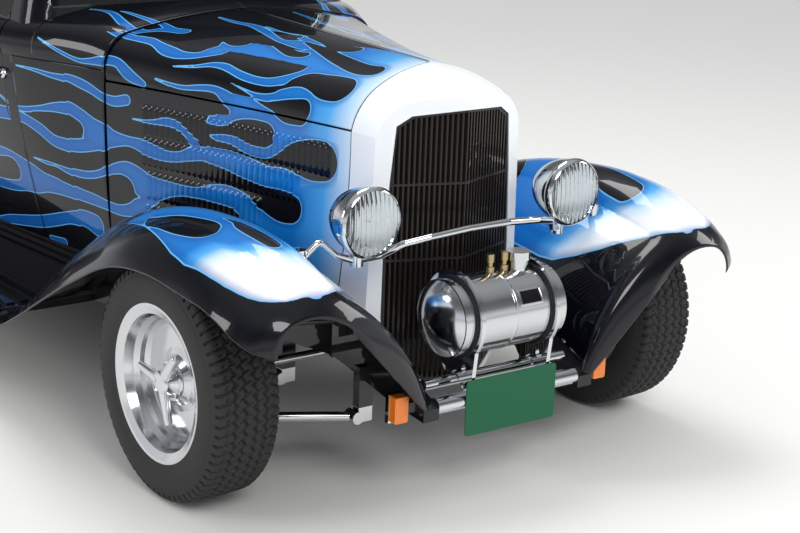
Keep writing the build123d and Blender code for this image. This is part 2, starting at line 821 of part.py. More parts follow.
# Wheels. Columns: name, side, station, x, tyre_radius, tyre_width
wheels = [
    ("front_left", 1, 0, front_wheel_x, front_tyre_radius, front_tyre_width),
    ("front_right", -1, 0, front_wheel_x, front_tyre_radius, front_tyre_width),
    ("rear_left", 1, wheelbase, rear_wheel_x, rear_tyre_radius, rear_tyre_width),
    ("rear_right", -1, wheelbase, rear_wheel_x, rear_tyre_radius, rear_tyre_width),
]
for name, side, station, wheel_x, tyre_radius, tyre_width in wheels:
    face = Plane(origin=(side * wheel_x, at(station), tyre_radius), x_dir=(side, 0, 0),
                 z_dir=(0, -side, 0))
    spin = Axis((0, at(station), tyre_radius), (1, 0, 0))
    half = tyre_width / 2
    lip = half - 6
    bead = half - 14
    with BuildPart() as tyre:
        with BuildSketch(face):
            with BuildLine():
                Polyline((0, rim_bead_radius + seat_gap), (bead - seat_gap, rim_bead_radius + seat_gap),
                         (bead - seat_gap, rim_lip_radius + seat_gap),
                         (lip, rim_lip_radius + seat_gap))
                ThreePointArc((lip, rim_lip_radius + seat_gap),
                              (half, (rim_lip_radius + tyre_radius) / 2),
                              (half - 10, tyre_radius - 18))
                ThreePointArc((half - 10, tyre_radius - 18), (half - 15, tyre_radius - 8),
                              (half - 26, tyre_radius - 3))
                Line((half - 26, tyre_radius - 3), (0, tyre_radius))
                mirror(about=Plane.YZ)
            make_face()
        revolve(axis=spin)
    save(tyre.part, "tyre_" + name)

    with BuildPart() as rim:
        with BuildSketch(face):
            with BuildLine():
                Polyline(
                    (lip, rim_lip_radius), (bead, rim_lip_radius), (bead, rim_bead_radius),
                    (bead - 30, rim_bead_radius - 3), (bead - 46, 168), (18 - bead, 168),
                    (-bead, rim_bead_radius), (-bead, rim_lip_radius),
                    (-lip, rim_lip_radius), (-lip, rim_lip_radius - 8),
                    (4 - bead, 176), (16 - bead, 160), (6, 160), (6, hub_radius),
                    (-20, hub_radius - 8), (-20, spindle_radius + running_clearance),
                    (24, spindle_radius + running_clearance), (24, 0),
                    (half - 20, 0), (half - 20, 26), (half - 48, 32), (half - 56, 46),
                    (26, hub_radius + 6), (22, 86), (22, 150), (34, 160), (bead - 40, 164),
                    (bead - 26, 174), (lip - 9, 182), (lip - 1, rim_lip_radius - 8),
                    close=True,
                )
            make_face()
        revolve(axis=spin)
        with BuildSketch(Plane(face.origin + Vector(side * -10, 0, 0), x_dir=(0, 1, 0),
                               z_dir=(side, 0, 0))):
            with PolarLocations(0, rim_windows, start_angle=90):
                SlotArc(CenterArc((0, 0), 117, -17, 34), 50)
        extrude(amount=60, mode=Mode.SUBTRACT)
        # three-bar spinner on the hub's nose
        with BuildSketch(Plane(face.origin + Vector(side * (half - 34), 0, 0), x_dir=(0, 1, 0),
                               z_dir=(side, 0, 0))):
            with PolarLocations(0, 3, start_angle=110):
                with Locations((60, 0)):
                    Trapezoid(34, 100, 83, rotation=-90)
        extrude(amount=16)
    save(rim.part, "rim_" + name)

# Front knuckles: upright, spindle, brake plate and steering arm
upright_low = 214.0
upright_high = 416.0
arm_eye_thickness = 20.0
lower_arm_height = 192.0
upper_arm_height = 438.0
pin_radius = 9.0
for name, side in (("left", 1), ("right", -1)):
    with BuildPart() as knuckle:
        with Locations((side * kingpin_x, at(0), (upright_low + upright_high) / 2)):
            Box(36, 62, upright_high - upright_low)
        with Locations((side * kingpin_x, at(0), (lower_arm_height + upper_arm_height) / 2)):
            Cylinder(pin_radius, upper_arm_height - lower_arm_height + arm_eye_thickness + 8)
        with Locations(Plane.YZ * Location((at(0), front_tyre_radius, side * kingpin_x))):
            Cylinder(spindle_radius, (front_wheel_x - kingpin_x) + 20,
                     align=(Align.CENTER, Align.CENTER, Align.MIN if side > 0 else Align.MAX))
            Cylinder(34, 44, align=(Align.CENTER, Align.CENTER, Align.MIN if side > 0 else Align.MAX))
        with Locations(Plane.YZ * Location((at(0), front_tyre_radius, side * (kingpin_x + 30)))):
            Cylinder(disc_radius, 10)
        with Locations((side * kingpin_x, at(steering_arm / 2 + 2), rack_height - 26)):
            Box(24, steering_arm + 4, 14)
        with Locations((side * (kingpin_x - 20), at(steering_arm - 6), rack_height - 26)):
            Box(60, 24, 14)
    save(knuckle.part, "knuckle_" + name)

# Control arms: lower and upper wishbones with eyes round the knuckle's pins
# Columns: height, pivot_x, front_pivot, rear_pivot, tube_radius, bracket_low, bracket_high
wishbones = [
    (lower_arm_height, 316, -188, 180, 13.5, 176, 330),
    (upper_arm_height, 322, -95, 60, 11.0, 390, 426),
]
with BuildPart() as control_arms:
    for height, pivot_x, front_pivot, rear_pivot, tube_radius, bracket_low, bracket_high in wishbones:
        for pivot in (front_pivot, rear_pivot):
            start = Vector(pivot_x, at(pivot), height)
            finish = Vector(kingpin_x, at(0), height)
            along = Plane(origin=start, z_dir=finish - start)
            with BuildSketch(along):
                Circle(tube_radius)
            extrude(amount=(finish - start).length)
            with Locations(Location((pivot_x, at(pivot), height), (90, 0, 0))):
                Cylinder(tube_radius + 4, 44)
            with Locations((pivot_x - 28, at(pivot), (bracket_low + bracket_high) / 2)):
                Box(44, 28, bracket_high - bracket_low)
        with Locations((kingpin_x, at(0), height)):
            Cylinder(24, arm_eye_thickness)
            Cylinder(pin_radius + running_clearance, arm_eye_thickness * 2, mode=Mode.SUBTRACT)
    mirror(about=Plane.YZ)
    add(frame_rails.part, mode=Mode.SUBTRACT)
save(control_arms.part, "control_arms")

# Steering rack bar with its tie-rod eyes above the steering arms
with BuildPart() as steering_rack:
    with Locations(Plane.YZ * Location((at(rack_station), rack_height, 0))):
        Cylinder(rack_radius, 2 * 600)
    for side in (1, -1):
        with Locations((side * 604, at(rack_station - 6), rack_height)):
            Cylinder(15, 22)
save(steering_rack.part, "steering_rack")

# Rear axle: tube, differential and brake drums
with BuildPart() as rear_axle:
    with Locations(Plane.YZ * Location((at(wheelbase), rear_tyre_radius, 0))):
        Cylinder(36, 2 * 620)
        Cylinder(spindle_radius, 2 * (rear_wheel_x + 20))
    with Locations((0, at(wheelbase), rear_tyre_radius)):
        Sphere(118)
    for side in (1, -1):
        with Locations(Plane.YZ * Location((at(wheelbase), rear_tyre_radius, side * 622))):
            Cylinder(disc_radius, 34)
        with Locations((side * 441, at(wheelbase), rear_tyre_radius)):
            Cylinder(28, 398 - rear_tyre_radius - seat_gap,
                     align=(Align.CENTER, Align.CENTER, Align.MIN))
    add(frame_rails.part, mode=Mode.SUBTRACT)
save(rear_axle.part, "rear_axle")

# Auxiliary tank, its ring brackets, rubber liners and fittings
with BuildPart() as front_tank:
    with BuildSketch(Plane(origin=(0, at(tank_station), tank_height), x_dir=(1, 0, 0),
                           z_dir=(0, -1, 0))):
        with BuildLine():
            Line((0, 0), (tank_half_length + tank_dome, 0))
            ThreePointArc((tank_half_length + tank_dome, 0),
                          (tank_half_length + tank_dome * 0.72, tank_radius * 0.55),
                          (tank_half_length, tank_radius - 4))
            Polyline((tank_half_length, tank_radius - 4), (tank_half_length, tank_radius),
                     (tank_half_length - 10, tank_radius), (0, tank_radius))
            mirror(about=Plane.YZ)
        make_face()
    revolve(axis=Axis((0, at(tank_station), tank_height), (1, 0, 0)))
    with Locations((80, at(tank_station), tank_height)):
        Cylinder(29, tank_radius + 40, align=(Align.CENTER, Align.CENTER, Align.MIN))
        with Locations((0, 0, tank_radius + 24)):
            Cylinder(33, 22, align=(Align.CENTER, Align.CENTER, Align.MIN))
save(front_tank.part, "front_tank")

with BuildPart() as tank_liners:
    for side in (1, -1):
        with Locations(Plane.YZ * Location((at(tank_station), tank_height, side * ring_x))):
            Cylinder(tank_radius + liner_thickness, ring_thickness + 8)
            Cylinder(tank_radius + seat_gap, 60, mode=Mode.SUBTRACT)
save(tank_liners.part, "tank_liners")

with BuildPart() as tank_brackets:
    for side in (1, -1):
        with BuildSketch(Plane.YZ.offset(side * ring_x - ring_thickness / 2)):
            with Locations((at(tank_station), tank_height)):
                Circle(ring_radius)
            with BuildLine():
                Polyline((at(tank_station) - 100, tank_height - 60),
                         (at(spreader_station) - 14, spreader_height + 17),
                         (at(spreader_station) + 14, spreader_height + 17),
                         (at(tank_bar_station) - 2, tank_height - 134),
                         (at(tank_bar_station) + 16, tank_bar_height + 12),
                         (at(tank_bar_station) + 44, tank_bar_height + 12),
                         (at(tank_station) + 100, tank_height - 60), close=True)
            make_face()
            with Locations((at(tank_station), tank_height)):
                Circle(tank_radius + liner_thickness + seat_gap, mode=Mode.SUBTRACT)
            with Locations((at(spreader_station), spreader_height)):
                Circle(spreader_radius + seat_gap, mode=Mode.SUBTRACT)
            with Locations((at(tank_bar_station), tank_bar_height)):
                Circle(tank_bar_radius + seat_gap, mode=Mode.SUBTRACT)
            with Locations((at(spreader_station) + 12, spreader_height + 78)):
                Circle(foot_hole_radius, mode=Mode.SUBTRACT)
        extrude(amount=ring_thickness)
save(tank_brackets.part, "tank_brackets")

with BuildPart() as tank_fittings:
    for x in (-15, 32):
        with Locations((x, at(tank_station), tank_height + tank_radius - 3)):
            Cylinder(12, 18, align=(Align.CENTER, Align.CENTER, Align.MIN))
            Cylinder(8, 34, align=(Align.CENTER, Align.CENTER, Align.MIN))
            with Locations((0, 0, 30)):
                Cylinder(11, 22, align=(Align.CENTER, Align.CENTER, Align.MIN))
    with Locations(Plane.YZ * Location((at(tank_station), tank_height, 0))):
        Cylinder(tank_radius + seat_gap, 100, mode=Mode.SUBTRACT)
save(tank_fittings.part, "tank_fittings")

# Blank number plate on the spreader bar
with BuildPart() as front_plate:
    with Locations((0, at(spreader_station) - spreader_radius - plate_thickness / 2 - seat_gap,
                    plate_centre_height)):
        Box(plate_width, plate_thickness, plate_height)
    fillet(front_plate.edges().filter_by(Axis.Y), 10)
save(front_plate.part, "front_plate")

# Amber lamps beside the horns, on chrome backs
with BuildPart() as turn_lamps:
    with Locations((340, at(-415), 287)):
        Box(42, 24, 70)
    fillet(turn_lamps.edges().filter_by(Axis.Y), 6)
    mirror(about=Plane.YZ)
save(turn_lamps.part, "turn_lamps")
with BuildPart() as turn_lamp_mounts:
    with Locations((340, at(-403 + seat_gap), 287)):
        Box(48, 14, 76, align=(Align.CENTER, Align.MIN, Align.CENTER))
    with Locations((288 + seat_gap, at(-403 + seat_gap), 278)):
        Box(40, 14, 26, align=(Align.MIN, Align.MIN, Align.CENTER))
    mirror(about=Plane.YZ)
    add(frame_rails.part, mode=Mode.SUBTRACT)
save(turn_lamp_mounts.part, "turn_lamp_mounts")

lamp_stem = 92.0
# Headlamps: chrome buckets and bezels, glass lenses, and the bar that carries them
lens_depth = 16.0
with BuildPart() as headlamps:
    with BuildSketch(Plane(origin=(lamp_x, at(lamp_station), lamp_height), x_dir=(1, 0, 0),
                           z_dir=(0, 0, 1))):
        with BuildLine():
            Line((0, 8), (lamp_radius - 8, 8))
            Line((lamp_radius - 8, 8), (lamp_radius - 8, -6))
            ThreePointArc((lamp_radius - 8, -6), (lamp_radius, 4), (lamp_radius - 4, 22))
            ThreePointArc((lamp_radius - 4, 22), (lamp_radius * 0.66, 104), (0, lamp_depth - 10))
            Line((0, lamp_depth - 10), (0, 8))
        make_face()
    revolve(axis=Axis((lamp_x, at(lamp_station), lamp_height), (0, 1, 0)))
    with Locations((lamp_x, at(lamp_station) + 62, lamp_height - lamp_stem)):
        Cylinder(15, 36, align=(Align.CENTER, Align.CENTER, Align.MIN))
    mirror(about=Plane.YZ)
save(headlamps.part, "headlamps")
lens_radius = lamp_radius - 8.5
lens_dome = 13.0
lens_sphere = (lens_radius**2 + lens_dome**2) / (2 * lens_dome)
with BuildPart() as headlamp_lenses:
    with BuildSketch(Plane(origin=(lamp_x, at(lamp_station), lamp_height), x_dir=(1, 0, 0),
                           z_dir=(0, 0, 1))):
        with BuildLine():
            middle = (lens_radius / 2,
                      lens_sphere - lens_depth - sqrt(lens_sphere**2 - lens_radius**2 / 4))
            Polyline((0, -lens_depth), (0, 8 - seat_gap), (lens_radius, 8 - seat_gap),
                     (lens_radius, lens_dome - lens_depth))
            ThreePointArc((lens_radius, lens_dome - lens_depth), middle, (0, -lens_depth))
        make_face()
    revolve(axis=Axis((lamp_x, at(lamp_station), lamp_height), (0, 1, 0)))
    mirror(about=Plane.YZ)
save(headlamp_lenses.part, "headlamp_lenses")

lamp_foot = lamp_height - lamp_stem - seat_gap
with BuildPart() as headlamp_bar:
    bar_radius = 9.5
    bar_half = [(70, at(-328), 707), (180, at(-318), 697), (250, at(-294), 682),
                (290, at(-255), 648), (lamp_x, at(lamp_station) + 62, lamp_foot - 20)]
    with BuildLine() as bar_path:
        FilletPolyline(*[(-x, y, z) for x, y, z in reversed(bar_half)], *bar_half, radius=24)
    with BuildSketch(Plane(origin=bar_path.line @ 0, z_dir=bar_path.line % 0)):
        Circle(bar_radius)
    sweep(path=bar_path.line)
    for side in (1, -1):
        with Locations((side * lamp_x, at(lamp_station) + 62, lamp_foot)):
            Cylinder(17, 34, align=(Align.CENTER, Align.CENTER, Align.MAX))
        with BuildLine() as leg_path:
            FilletPolyline(
                (side * lamp_x, at(lamp_station) + 62, lamp_foot - 22),
                (side * 402, at(-205), 652), (side * 446, at(-195), 692),
                (side * 505, at(-187), 640), radius=18,
            )
        with BuildSketch(Plane(origin=leg_path.line @ 0, z_dir=leg_path.line % 0)):
            Circle(bar_radius)
        sweep(path=leg_path.line)
        with Locations((side * 505, at(-187), 676)):
            Cylinder(21, 40, align=(Align.CENTER, Align.CENTER, Align.MAX))
        add(fender_solid(0, side), mode=Mode.SUBTRACT)
save(headlamp_bar.part, "headlamp_bar")

# Floor of the cabin, lying on the frame rails
floor_thickness = 11.9
with BuildPart() as floor_pan:
    with BuildSketch(Plane.XY.offset(rail_floor_top + seat_gap)):
        with BuildLine():
            Polyline((0, at(1005)), (462, at(1005)), (500, at(1290)), (540, at(1650)),
                     (548, at(door_rear)), (0, at(door_rear)))
            mirror(about=Plane.YZ)
        make_face()
    extrude(amount=floor_thickness)
save(floor_pan.part, "floor_pan")

# Dashboard across the cowl, bench seat, and the steering wheel on its column
with BuildPart() as dashboard:
    with BuildSketch(Plane.YZ):
        with BuildLine():
            Polyline((at(1085), 1040), (at(1190), 1040), (at(1205), 1010), (at(1190), 930),
                     (at(1085), 950), close=True)
        make_face()
    extrude(amount=640, both=True)
    add(tub_inner, mode=Mode.INTERSECT)
save(dashboard.part, "dashboard")

seat_floor = rail_floor_top + seat_gap + floor_thickness + seat_gap
with BuildPart() as bench_seat:
    with BuildSketch(Plane.YZ) as seat_side:
        with BuildLine():
            Polyline((at(1700), seat_floor), (at(2060), seat_floor), (at(2230), 470),
                     (at(2330), 1000), (at(2250), 1010), (at(2120), 600), (at(1690), 620),
                     close=True)
        make_face()
        fillet(seat_side.vertices().group_by(Axis.Y)[:2][-1], 30)
    extrude(amount=470, both=True)
save(bench_seat.part, "bench_seat")

wheel_tilt = 27.0
steering_wheel_x = 330.0
with BuildPart() as steering_wheel:
    hub = Plane(origin=(steering_wheel_x, at(1500), 930), x_dir=(1, 0, 0),
                z_dir=(0, cos(radians(wheel_tilt)), sin(radians(wheel_tilt))))
    with Locations(Location(hub)):
        Torus(185, 13)
        Cylinder(30, 34)
        Cylinder(16, 690, align=(Align.CENTER, Align.CENTER, Align.MAX))
        with PolarLocations(0, 3, start_angle=-90):
            with Locations((95, 0)):
                Box(180, 26, 8)
    with Locations((0, at(hood_rear) + 20 + seat_gap, 0)):
        Box(2000, 2000, 2000, align=(Align.CENTER, Align.MIN, Align.MIN), mode=Mode.INTERSECT)
save(steering_wheel.part, "steering_wheel")

# Exhausts: a manifold beside the engine, a pipe under the rails and a muffler
pipe_radius = 28.0
pipe_x = 330.0
pipe_height = 195.0
with BuildPart() as exhausts:
    with BuildLine() as pipe_path:
        FilletPolyline((258, at(560), 425), (258, at(650), 400), (pipe_x, at(820), pipe_height),
                       (pipe_x, at(3200), pipe_height), radius=70)
    with BuildSketch(Plane(origin=pipe_path.line @ 0, z_dir=pipe_path.line % 0)):
        Circle(pipe_radius)
    sweep(path=pipe_path.line)
    with Locations((258, at(450), 425)):
        Box(2 * (258 - 235 - seat_gap), 340, 50)
    with Locations((pipe_x, at(1725), pipe_height)):
        Cylinder(55, 450, rotation=(90, 0, 0))
    mirror(about=Plane.YZ)
save(exhausts.part, "exhausts")

# Fuel tank behind the body, resting on the rear bar
with BuildPart() as rear_tank:
    with Locations((0, at(wheelbase + rear_overhang), 372 + seat_gap)):
        Box(760, 127, 114, align=(Align.CENTER, Align.MAX, Align.MIN))
    fillet(rear_tank.edges().filter_by(Axis.X), 22)
save(rear_tank.part, "rear_tank")

# Tail lamps seated on the rear fenders, with their lenses
tail_lamp_x = 560.0
tail_lamp_height = 560.0
tail_lamp_radius = 38.0
with BuildPart() as tail_lamps:
    with Locations((tail_lamp_x, at(3156), tail_lamp_height)):
        Cylinder(tail_lamp_radius, 120, rotation=(90, 0, 0),
                 align=(Align.CENTER, Align.CENTER, Align.MIN))
    with Locations(Plane.YZ * Location((at(wheelbase), rear_fender_height, tail_lamp_x))):
        Cylinder(rear_fender_radius, 200, mode=Mode.SUBTRACT)
    mirror(about=Plane.YZ)
    add(rear_fenders.part, mode=Mode.SUBTRACT)
save(tail_lamps.part, "tail_lamps")
with BuildPart() as tail_lenses:
    with Locations((tail_lamp_x, at(3156 + seat_gap), tail_lamp_height)):
        Cylinder(tail_lamp_radius - 5, 12, rotation=(90, 0, 0),
                 align=(Align.CENTER, Align.CENTER, Align.MAX))
    mirror(about=Plane.YZ)
save(tail_lenses.part, "tail_lenses")
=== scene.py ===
"""Looks of the hot rod coupe: lacquered panels with flames, bright metal, tyres, glass and stage.

The scene is in metres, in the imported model's frame: the car faces -Y, its own left side is at +X,
and Z is up. Tables and outlines are in millimetres, and a station is a distance rearward from the
front axle.
"""

import json
import math

import bpy
import numpy as np
from mathutils import Matrix, Vector
from mathutils.bvhtree import BVHTree


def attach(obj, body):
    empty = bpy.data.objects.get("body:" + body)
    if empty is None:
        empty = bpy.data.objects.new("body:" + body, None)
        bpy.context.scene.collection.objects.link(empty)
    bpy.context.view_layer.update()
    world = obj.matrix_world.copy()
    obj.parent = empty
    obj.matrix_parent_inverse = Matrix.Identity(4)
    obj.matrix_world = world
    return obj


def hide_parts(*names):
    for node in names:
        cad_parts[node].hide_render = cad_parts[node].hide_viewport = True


bl_info = {
    "name": "Hot Rod Coupe",
    "version": (1, 0, 0),
    "blender": (4, 5, 0),
    "location": "View3D > Sidebar > Hot Rod",
    "description": "Dresses the coupe's frame with lacquer, flames, bright metal, rubber and glass",
    "category": "Object",
}

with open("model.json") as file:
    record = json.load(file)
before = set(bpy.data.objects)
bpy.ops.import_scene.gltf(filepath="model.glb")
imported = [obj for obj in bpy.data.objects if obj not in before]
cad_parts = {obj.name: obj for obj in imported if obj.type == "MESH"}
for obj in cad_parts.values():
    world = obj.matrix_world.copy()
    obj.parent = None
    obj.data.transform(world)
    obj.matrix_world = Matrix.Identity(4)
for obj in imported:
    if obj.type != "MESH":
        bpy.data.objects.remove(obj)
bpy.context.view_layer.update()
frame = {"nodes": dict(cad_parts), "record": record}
FRONT_AXLE = -1397.0
SIDES = ((-1.0, "right"), (1.0, "left"))
MATERIALS = {}


# Colour and node helpers

def linear(code):
    """Linear colour with alpha of an sRGB hex value such as 0b5cb8."""
    parts = [int(code[i:i + 2], 16) / 255 for i in (0, 2, 4)]
    parts = [c / 12.92 if c <= 0.04045 else ((c + 0.055) / 1.055) ** 2.4 for c in parts]
    return (*parts, 1.0)


def add_node(tree, kind, settings=None, links=None):
    """Add one node, set its inputs or properties by name and link its inputs to other sockets."""
    node = tree.nodes.new(kind)
    for key, value in (settings or {}).items():
        if isinstance(key, int) or key in node.inputs:
            node.inputs[key].default_value = value
        else:
            setattr(node, key, value)
    for key, socket in (links or {}).items():
        tree.links.new(socket, node.inputs[key])
    return node


def new_material(name):
    """Node tree of a new, empty material, which is kept by name."""
    material = bpy.data.materials.new(name)
    material.use_nodes = True
    material.node_tree.nodes.clear()
    MATERIALS[name] = material
    return material.node_tree


def finish_material(tree, shader):
    """Join a shader to the material's output."""
    add_node(tree, "ShaderNodeOutputMaterial", links={"Surface": shader.outputs[0]})


def principled(tree, settings, links):
    """Finish a material with one principled shader."""
    finish_material(tree, add_node(tree, "ShaderNodeBsdfPrincipled", settings, links))


def position(tree):
    """Object coordinates, in metres, so that a pattern stays on its piece."""
    return add_node(tree, "ShaderNodeTexCoord").outputs["Object"]


def grain(tree, scale, detail=1.0):
    """Noise in 0..1, with about as many grains in a metre as the scale says."""
    return add_node(tree, "ShaderNodeTexNoise", {"Scale": scale, "Detail": detail},
                    {"Vector": position(tree)}).outputs["Fac"]


def flutes(tree, scale):
    """Upright waves in 0..1 that follow each other across the car."""
    return add_node(tree, "ShaderNodeTexWave", {"Scale": scale, "bands_direction": "X"},
                    {"Vector": position(tree)}).outputs["Fac"]


def remap(tree, value, limits):
    """Value mapped between the limits given by their names."""
    return add_node(tree, "ShaderNodeMapRange", limits, {"Value": value}).outputs[0]


def ramp(tree, value, stops):
    """Colour ramp through stops of place and colour."""
    node = add_node(tree, "ShaderNodeValToRGB", links={"Fac": value})
    elements = node.color_ramp.elements
    while len(elements) < len(stops):
        elements.new(0.5)
    for element, (place, colour) in zip(elements, stops):
        element.position = place
        element.color = colour
    return node.outputs["Color"]


def bump_from(tree, height, distance, strength):
    """Bump node for a height given in 0..1 over a real distance in metres."""
    return add_node(tree, "ShaderNodeBump", {"Strength": strength, "Distance": distance},
                    {"Height": height}).outputs["Normal"]


# Geometry helpers

def grid_faces(rows, columns, close_columns=False, close_rows=False):
    """Quads of a rows by columns grid of points, counted row by row."""
    r = np.arange(rows if close_rows else rows - 1)
    c = np.arange(columns if close_columns else columns - 1)
    i, j = np.meshgrid(r, c, indexing="ij")
    i2, j2 = (i + 1) % rows, (j + 1) % columns
    quads = np.stack([i * columns + j, i * columns + j2, i2 * columns + j2, i2 * columns + j], -1)
    return quads.reshape(-1, 4)


def merged(points, faces):
    """The same shape with points at one place made one, as at a pole, and faces to suit."""
    _, first, inverse = np.unique(np.round(points, 7), axis=0, return_index=True,
                                  return_inverse=True)
    faces = [list(dict.fromkeys(face)) for face in inverse.ravel()[faces].tolist()]
    return points[first], [face for face in faces if len(face) > 2]


def make_piece(name, points, faces, material, body, slot, attributes=None, flat_angle=None):
    """Smooth shaded mesh object from arrays of points and quads, riding on a body. A shape with
    attributes keeps every point, and any other has its points merged."""
    mesh = bpy.data.meshes.new(name)
    points = points.reshape(-1, 3)
    if attributes is None:
        points, faces = merged(points, faces)
    else:
        faces = faces.tolist()
    mesh.from_pydata(points.tolist(), [], faces)
    for key, values in (attributes or {}).items():
        layer = mesh.attributes.new(key, "FLOAT", "POINT")
        layer.data.foreach_set("value", values.astype(np.float32).ravel())
    mesh.polygons.foreach_set("use_smooth", np.ones(len(mesh.polygons), dtype=bool))
    if flat_angle:
        mesh.set_sharp_from_angle(angle=math.radians(flat_angle))
    mesh.materials.append(MATERIALS[material])
    mesh.update()
    piece = bpy.data.objects.new(name, mesh)
    bpy.context.scene.collection.objects.link(piece)
    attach(piece, body)
    return piece


def join_grids(grids):
    """One point array and one face array from several (points, faces) pairs."""
    points, faces, count = [], [], 0
    for p, f in grids:
        points.append(p.reshape(-1, 3))
        faces.append(f + count)
        count += len(points[-1])
    return np.concatenate(points), np.concatenate(faces)


def smooth_rows(stations, table, at):
    """Cubic curve through each column of a table: Hermite pieces whose slope at a row is the
    weighted mean of the slopes of its two neighbouring runs."""
    s = np.asarray(stations, dtype=float)
    v = np.asarray(table, dtype=float)
    run = np.diff(s)[:, None]
    slope = np.diff(v, axis=0) / run
    tangent = np.empty_like(v)
    tangent[1:-1] = (slope[:-1] * run[1:] + slope[1:] * run[:-1]) / (run[1:] + run[:-1])
    tangent[0] = slope[0] * 1.5 - tangent[1] * 0.5
    tangent[-1] = slope[-1] * 1.5 - tangent[-2] * 0.5
    k = np.clip(np.searchsorted(s, at, side="right") - 1, 0, len(s) - 2)
    h = run[k]
    t = ((at - s[k]) / run[k, 0])[:, None]
    return ((2 * t**3 - 3 * t**2 + 1) * v[k] + (t**3 - 2 * t**2 + t) * h * tangent[k]
            + (3 * t**2 - 2 * t**3) * v[k + 1] + (t**3 - t**2) * h * tangent[k + 1])


def arc_points(a, b, c, count, include_end=True):
    """Points along the circle through a, b and c, for many triples at once. The centre is where
    the chords' middle lines meet, and the angle runs from a over b to c."""
    a, b, c = (np.asarray(p, dtype=float) for p in (a, b, c))
    ab, ac = b - a, c - a
    cross = 2 * (ab[..., 0] * ac[..., 1] - ab[..., 1] * ac[..., 0])
    cross = np.where(np.abs(cross) < 1e-9, 1e-9, cross)
    ab2, ac2 = (ab**2).sum(-1), (ac**2).sum(-1)
    centre = a + np.stack([(ac[..., 1] * ab2 - ab[..., 1] * ac2) / cross,
                           (ab[..., 0] * ac2 - ac[..., 0] * ab2) / cross], -1)
    start, over, end = (np.arctan2((p - centre)[..., 1], (p - centre)[..., 0]) for p in (a, b, c))
    turn = 2 * np.pi
    to_b, to_c = (over - start) % turn, (end - start) % turn
    sweep = np.where(to_b <= to_c, to_c, to_c - turn)
    t = np.linspace(0, 1, count, endpoint=include_end)
    theta = start[..., None] + sweep[..., None] * t
    radius = np.sqrt(((a - centre) ** 2).sum(-1))[..., None]
    return np.stack([centre[..., 0, None] + radius * np.cos(theta),
                     centre[..., 1, None] + radius * np.sin(theta)], -1)


def pair(x, z):
    """Two columns as points."""
    return np.stack([x, z], -1)


def station_grid(stations, outline):
    """Station of every point of the outlines."""
    return np.broadcast_to(stations[:, None], outline.shape[:2])


def to_space(stations, outline, side):
    """Points in space from outlines of X and Z, one outline for each station."""
    y = station_grid(stations, outline) + FRONT_AXLE
    return np.stack([outline[..., 0] * side, y, outline[..., 1]], -1) / 1000


def unit_normals(points):
    """Unit normals of a grid of points, and 1 where they point away from a line along the car at
    0.55 m or -1 where they point to it."""
    normal = np.cross(np.gradient(points, axis=0), np.gradient(points, axis=1))
    normal /= np.linalg.norm(normal, axis=-1, keepdims=True)
    return normal, np.sign((normal * (points - [0, 0, 0.55]) * [1, 0, 1]).sum())


def outward(points, faces):
    """Faces of a closed shape, turned if their signed volume is negative."""
    p = points.reshape(-1, 3)
    a, b, c, d = (p[faces[:, k]] for k in range(4))
    volume = (a * np.cross(b, c)).sum() + (a * np.cross(c, d)).sum()
    return faces if volume > 0 else faces[:, ::-1]


def full_turn(count):
    """Angles all round, without the last that is the first again."""
    return np.linspace(0, 2 * np.pi, count, endpoint=False)


def turned(profile, count=48):
    """Points and faces of an outline of distance along and radius, turned about an axle along X.
    Its first and last points lie on the axle, or its last is its first."""
    profile = np.asarray(profile, dtype=float)
    angle = full_turn(count)[:, None]
    points = np.stack([np.broadcast_to(profile[:, 0], (count, len(profile))),
                       profile[:, 1] * np.sin(angle), profile[:, 1] * np.cos(angle)], -1)
    return points, outward(points, grid_faces(count, len(profile), False, True))


# Materials

def chrome_plate():
    """Chromium plate, polished: nearly white, mirror sharp, with the faintest waviness."""
    tree = new_material("chrome_plate")
    principled(tree, {"Base Color": linear("d9dbde"), "Metallic": 1.0, "Roughness": 0.04},
               {"Normal": bump_from(tree, grain(tree, 26.0), 0.0002, 0.25)})


def polished_aluminium():
    """Aluminium, buffed by hand: a soft mirror with fine wandering buffing marks."""
    tree = new_material("polished_aluminium")
    principled(tree, {"Base Color": linear("d4d6d9"), "Metallic": 1.0},
               {"Roughness": remap(tree, grain(tree, 14.0, 3.0), {"To Min": 0.07, "To Max": 0.2}),
                "Normal": bump_from(tree, grain(tree, 900.0, 2.0), 0.00003, 0.3)})


def lacquer(tree, roughness, coat, settings, links):
    """Finish a material as lacquer under a clear coat, with the least orange peel, 8 mm across."""
    normal = bump_from(tree, grain(tree, 120.0), 0.00006, 0.25)
    principled(tree, {"Roughness": roughness, "Coat Weight": coat, "Coat Roughness": 0.02,
                      "Specular IOR Level": 0.1, **settings},
               {"Normal": normal, "Coat Normal": normal, **links})


def plain_lacquer(name, colour, roughness=0.3, coat=0.8):
    """Two-pack lacquer of one colour."""
    lacquer(new_material(name), roughness, coat, {"Base Color": linear(colour)}, {})


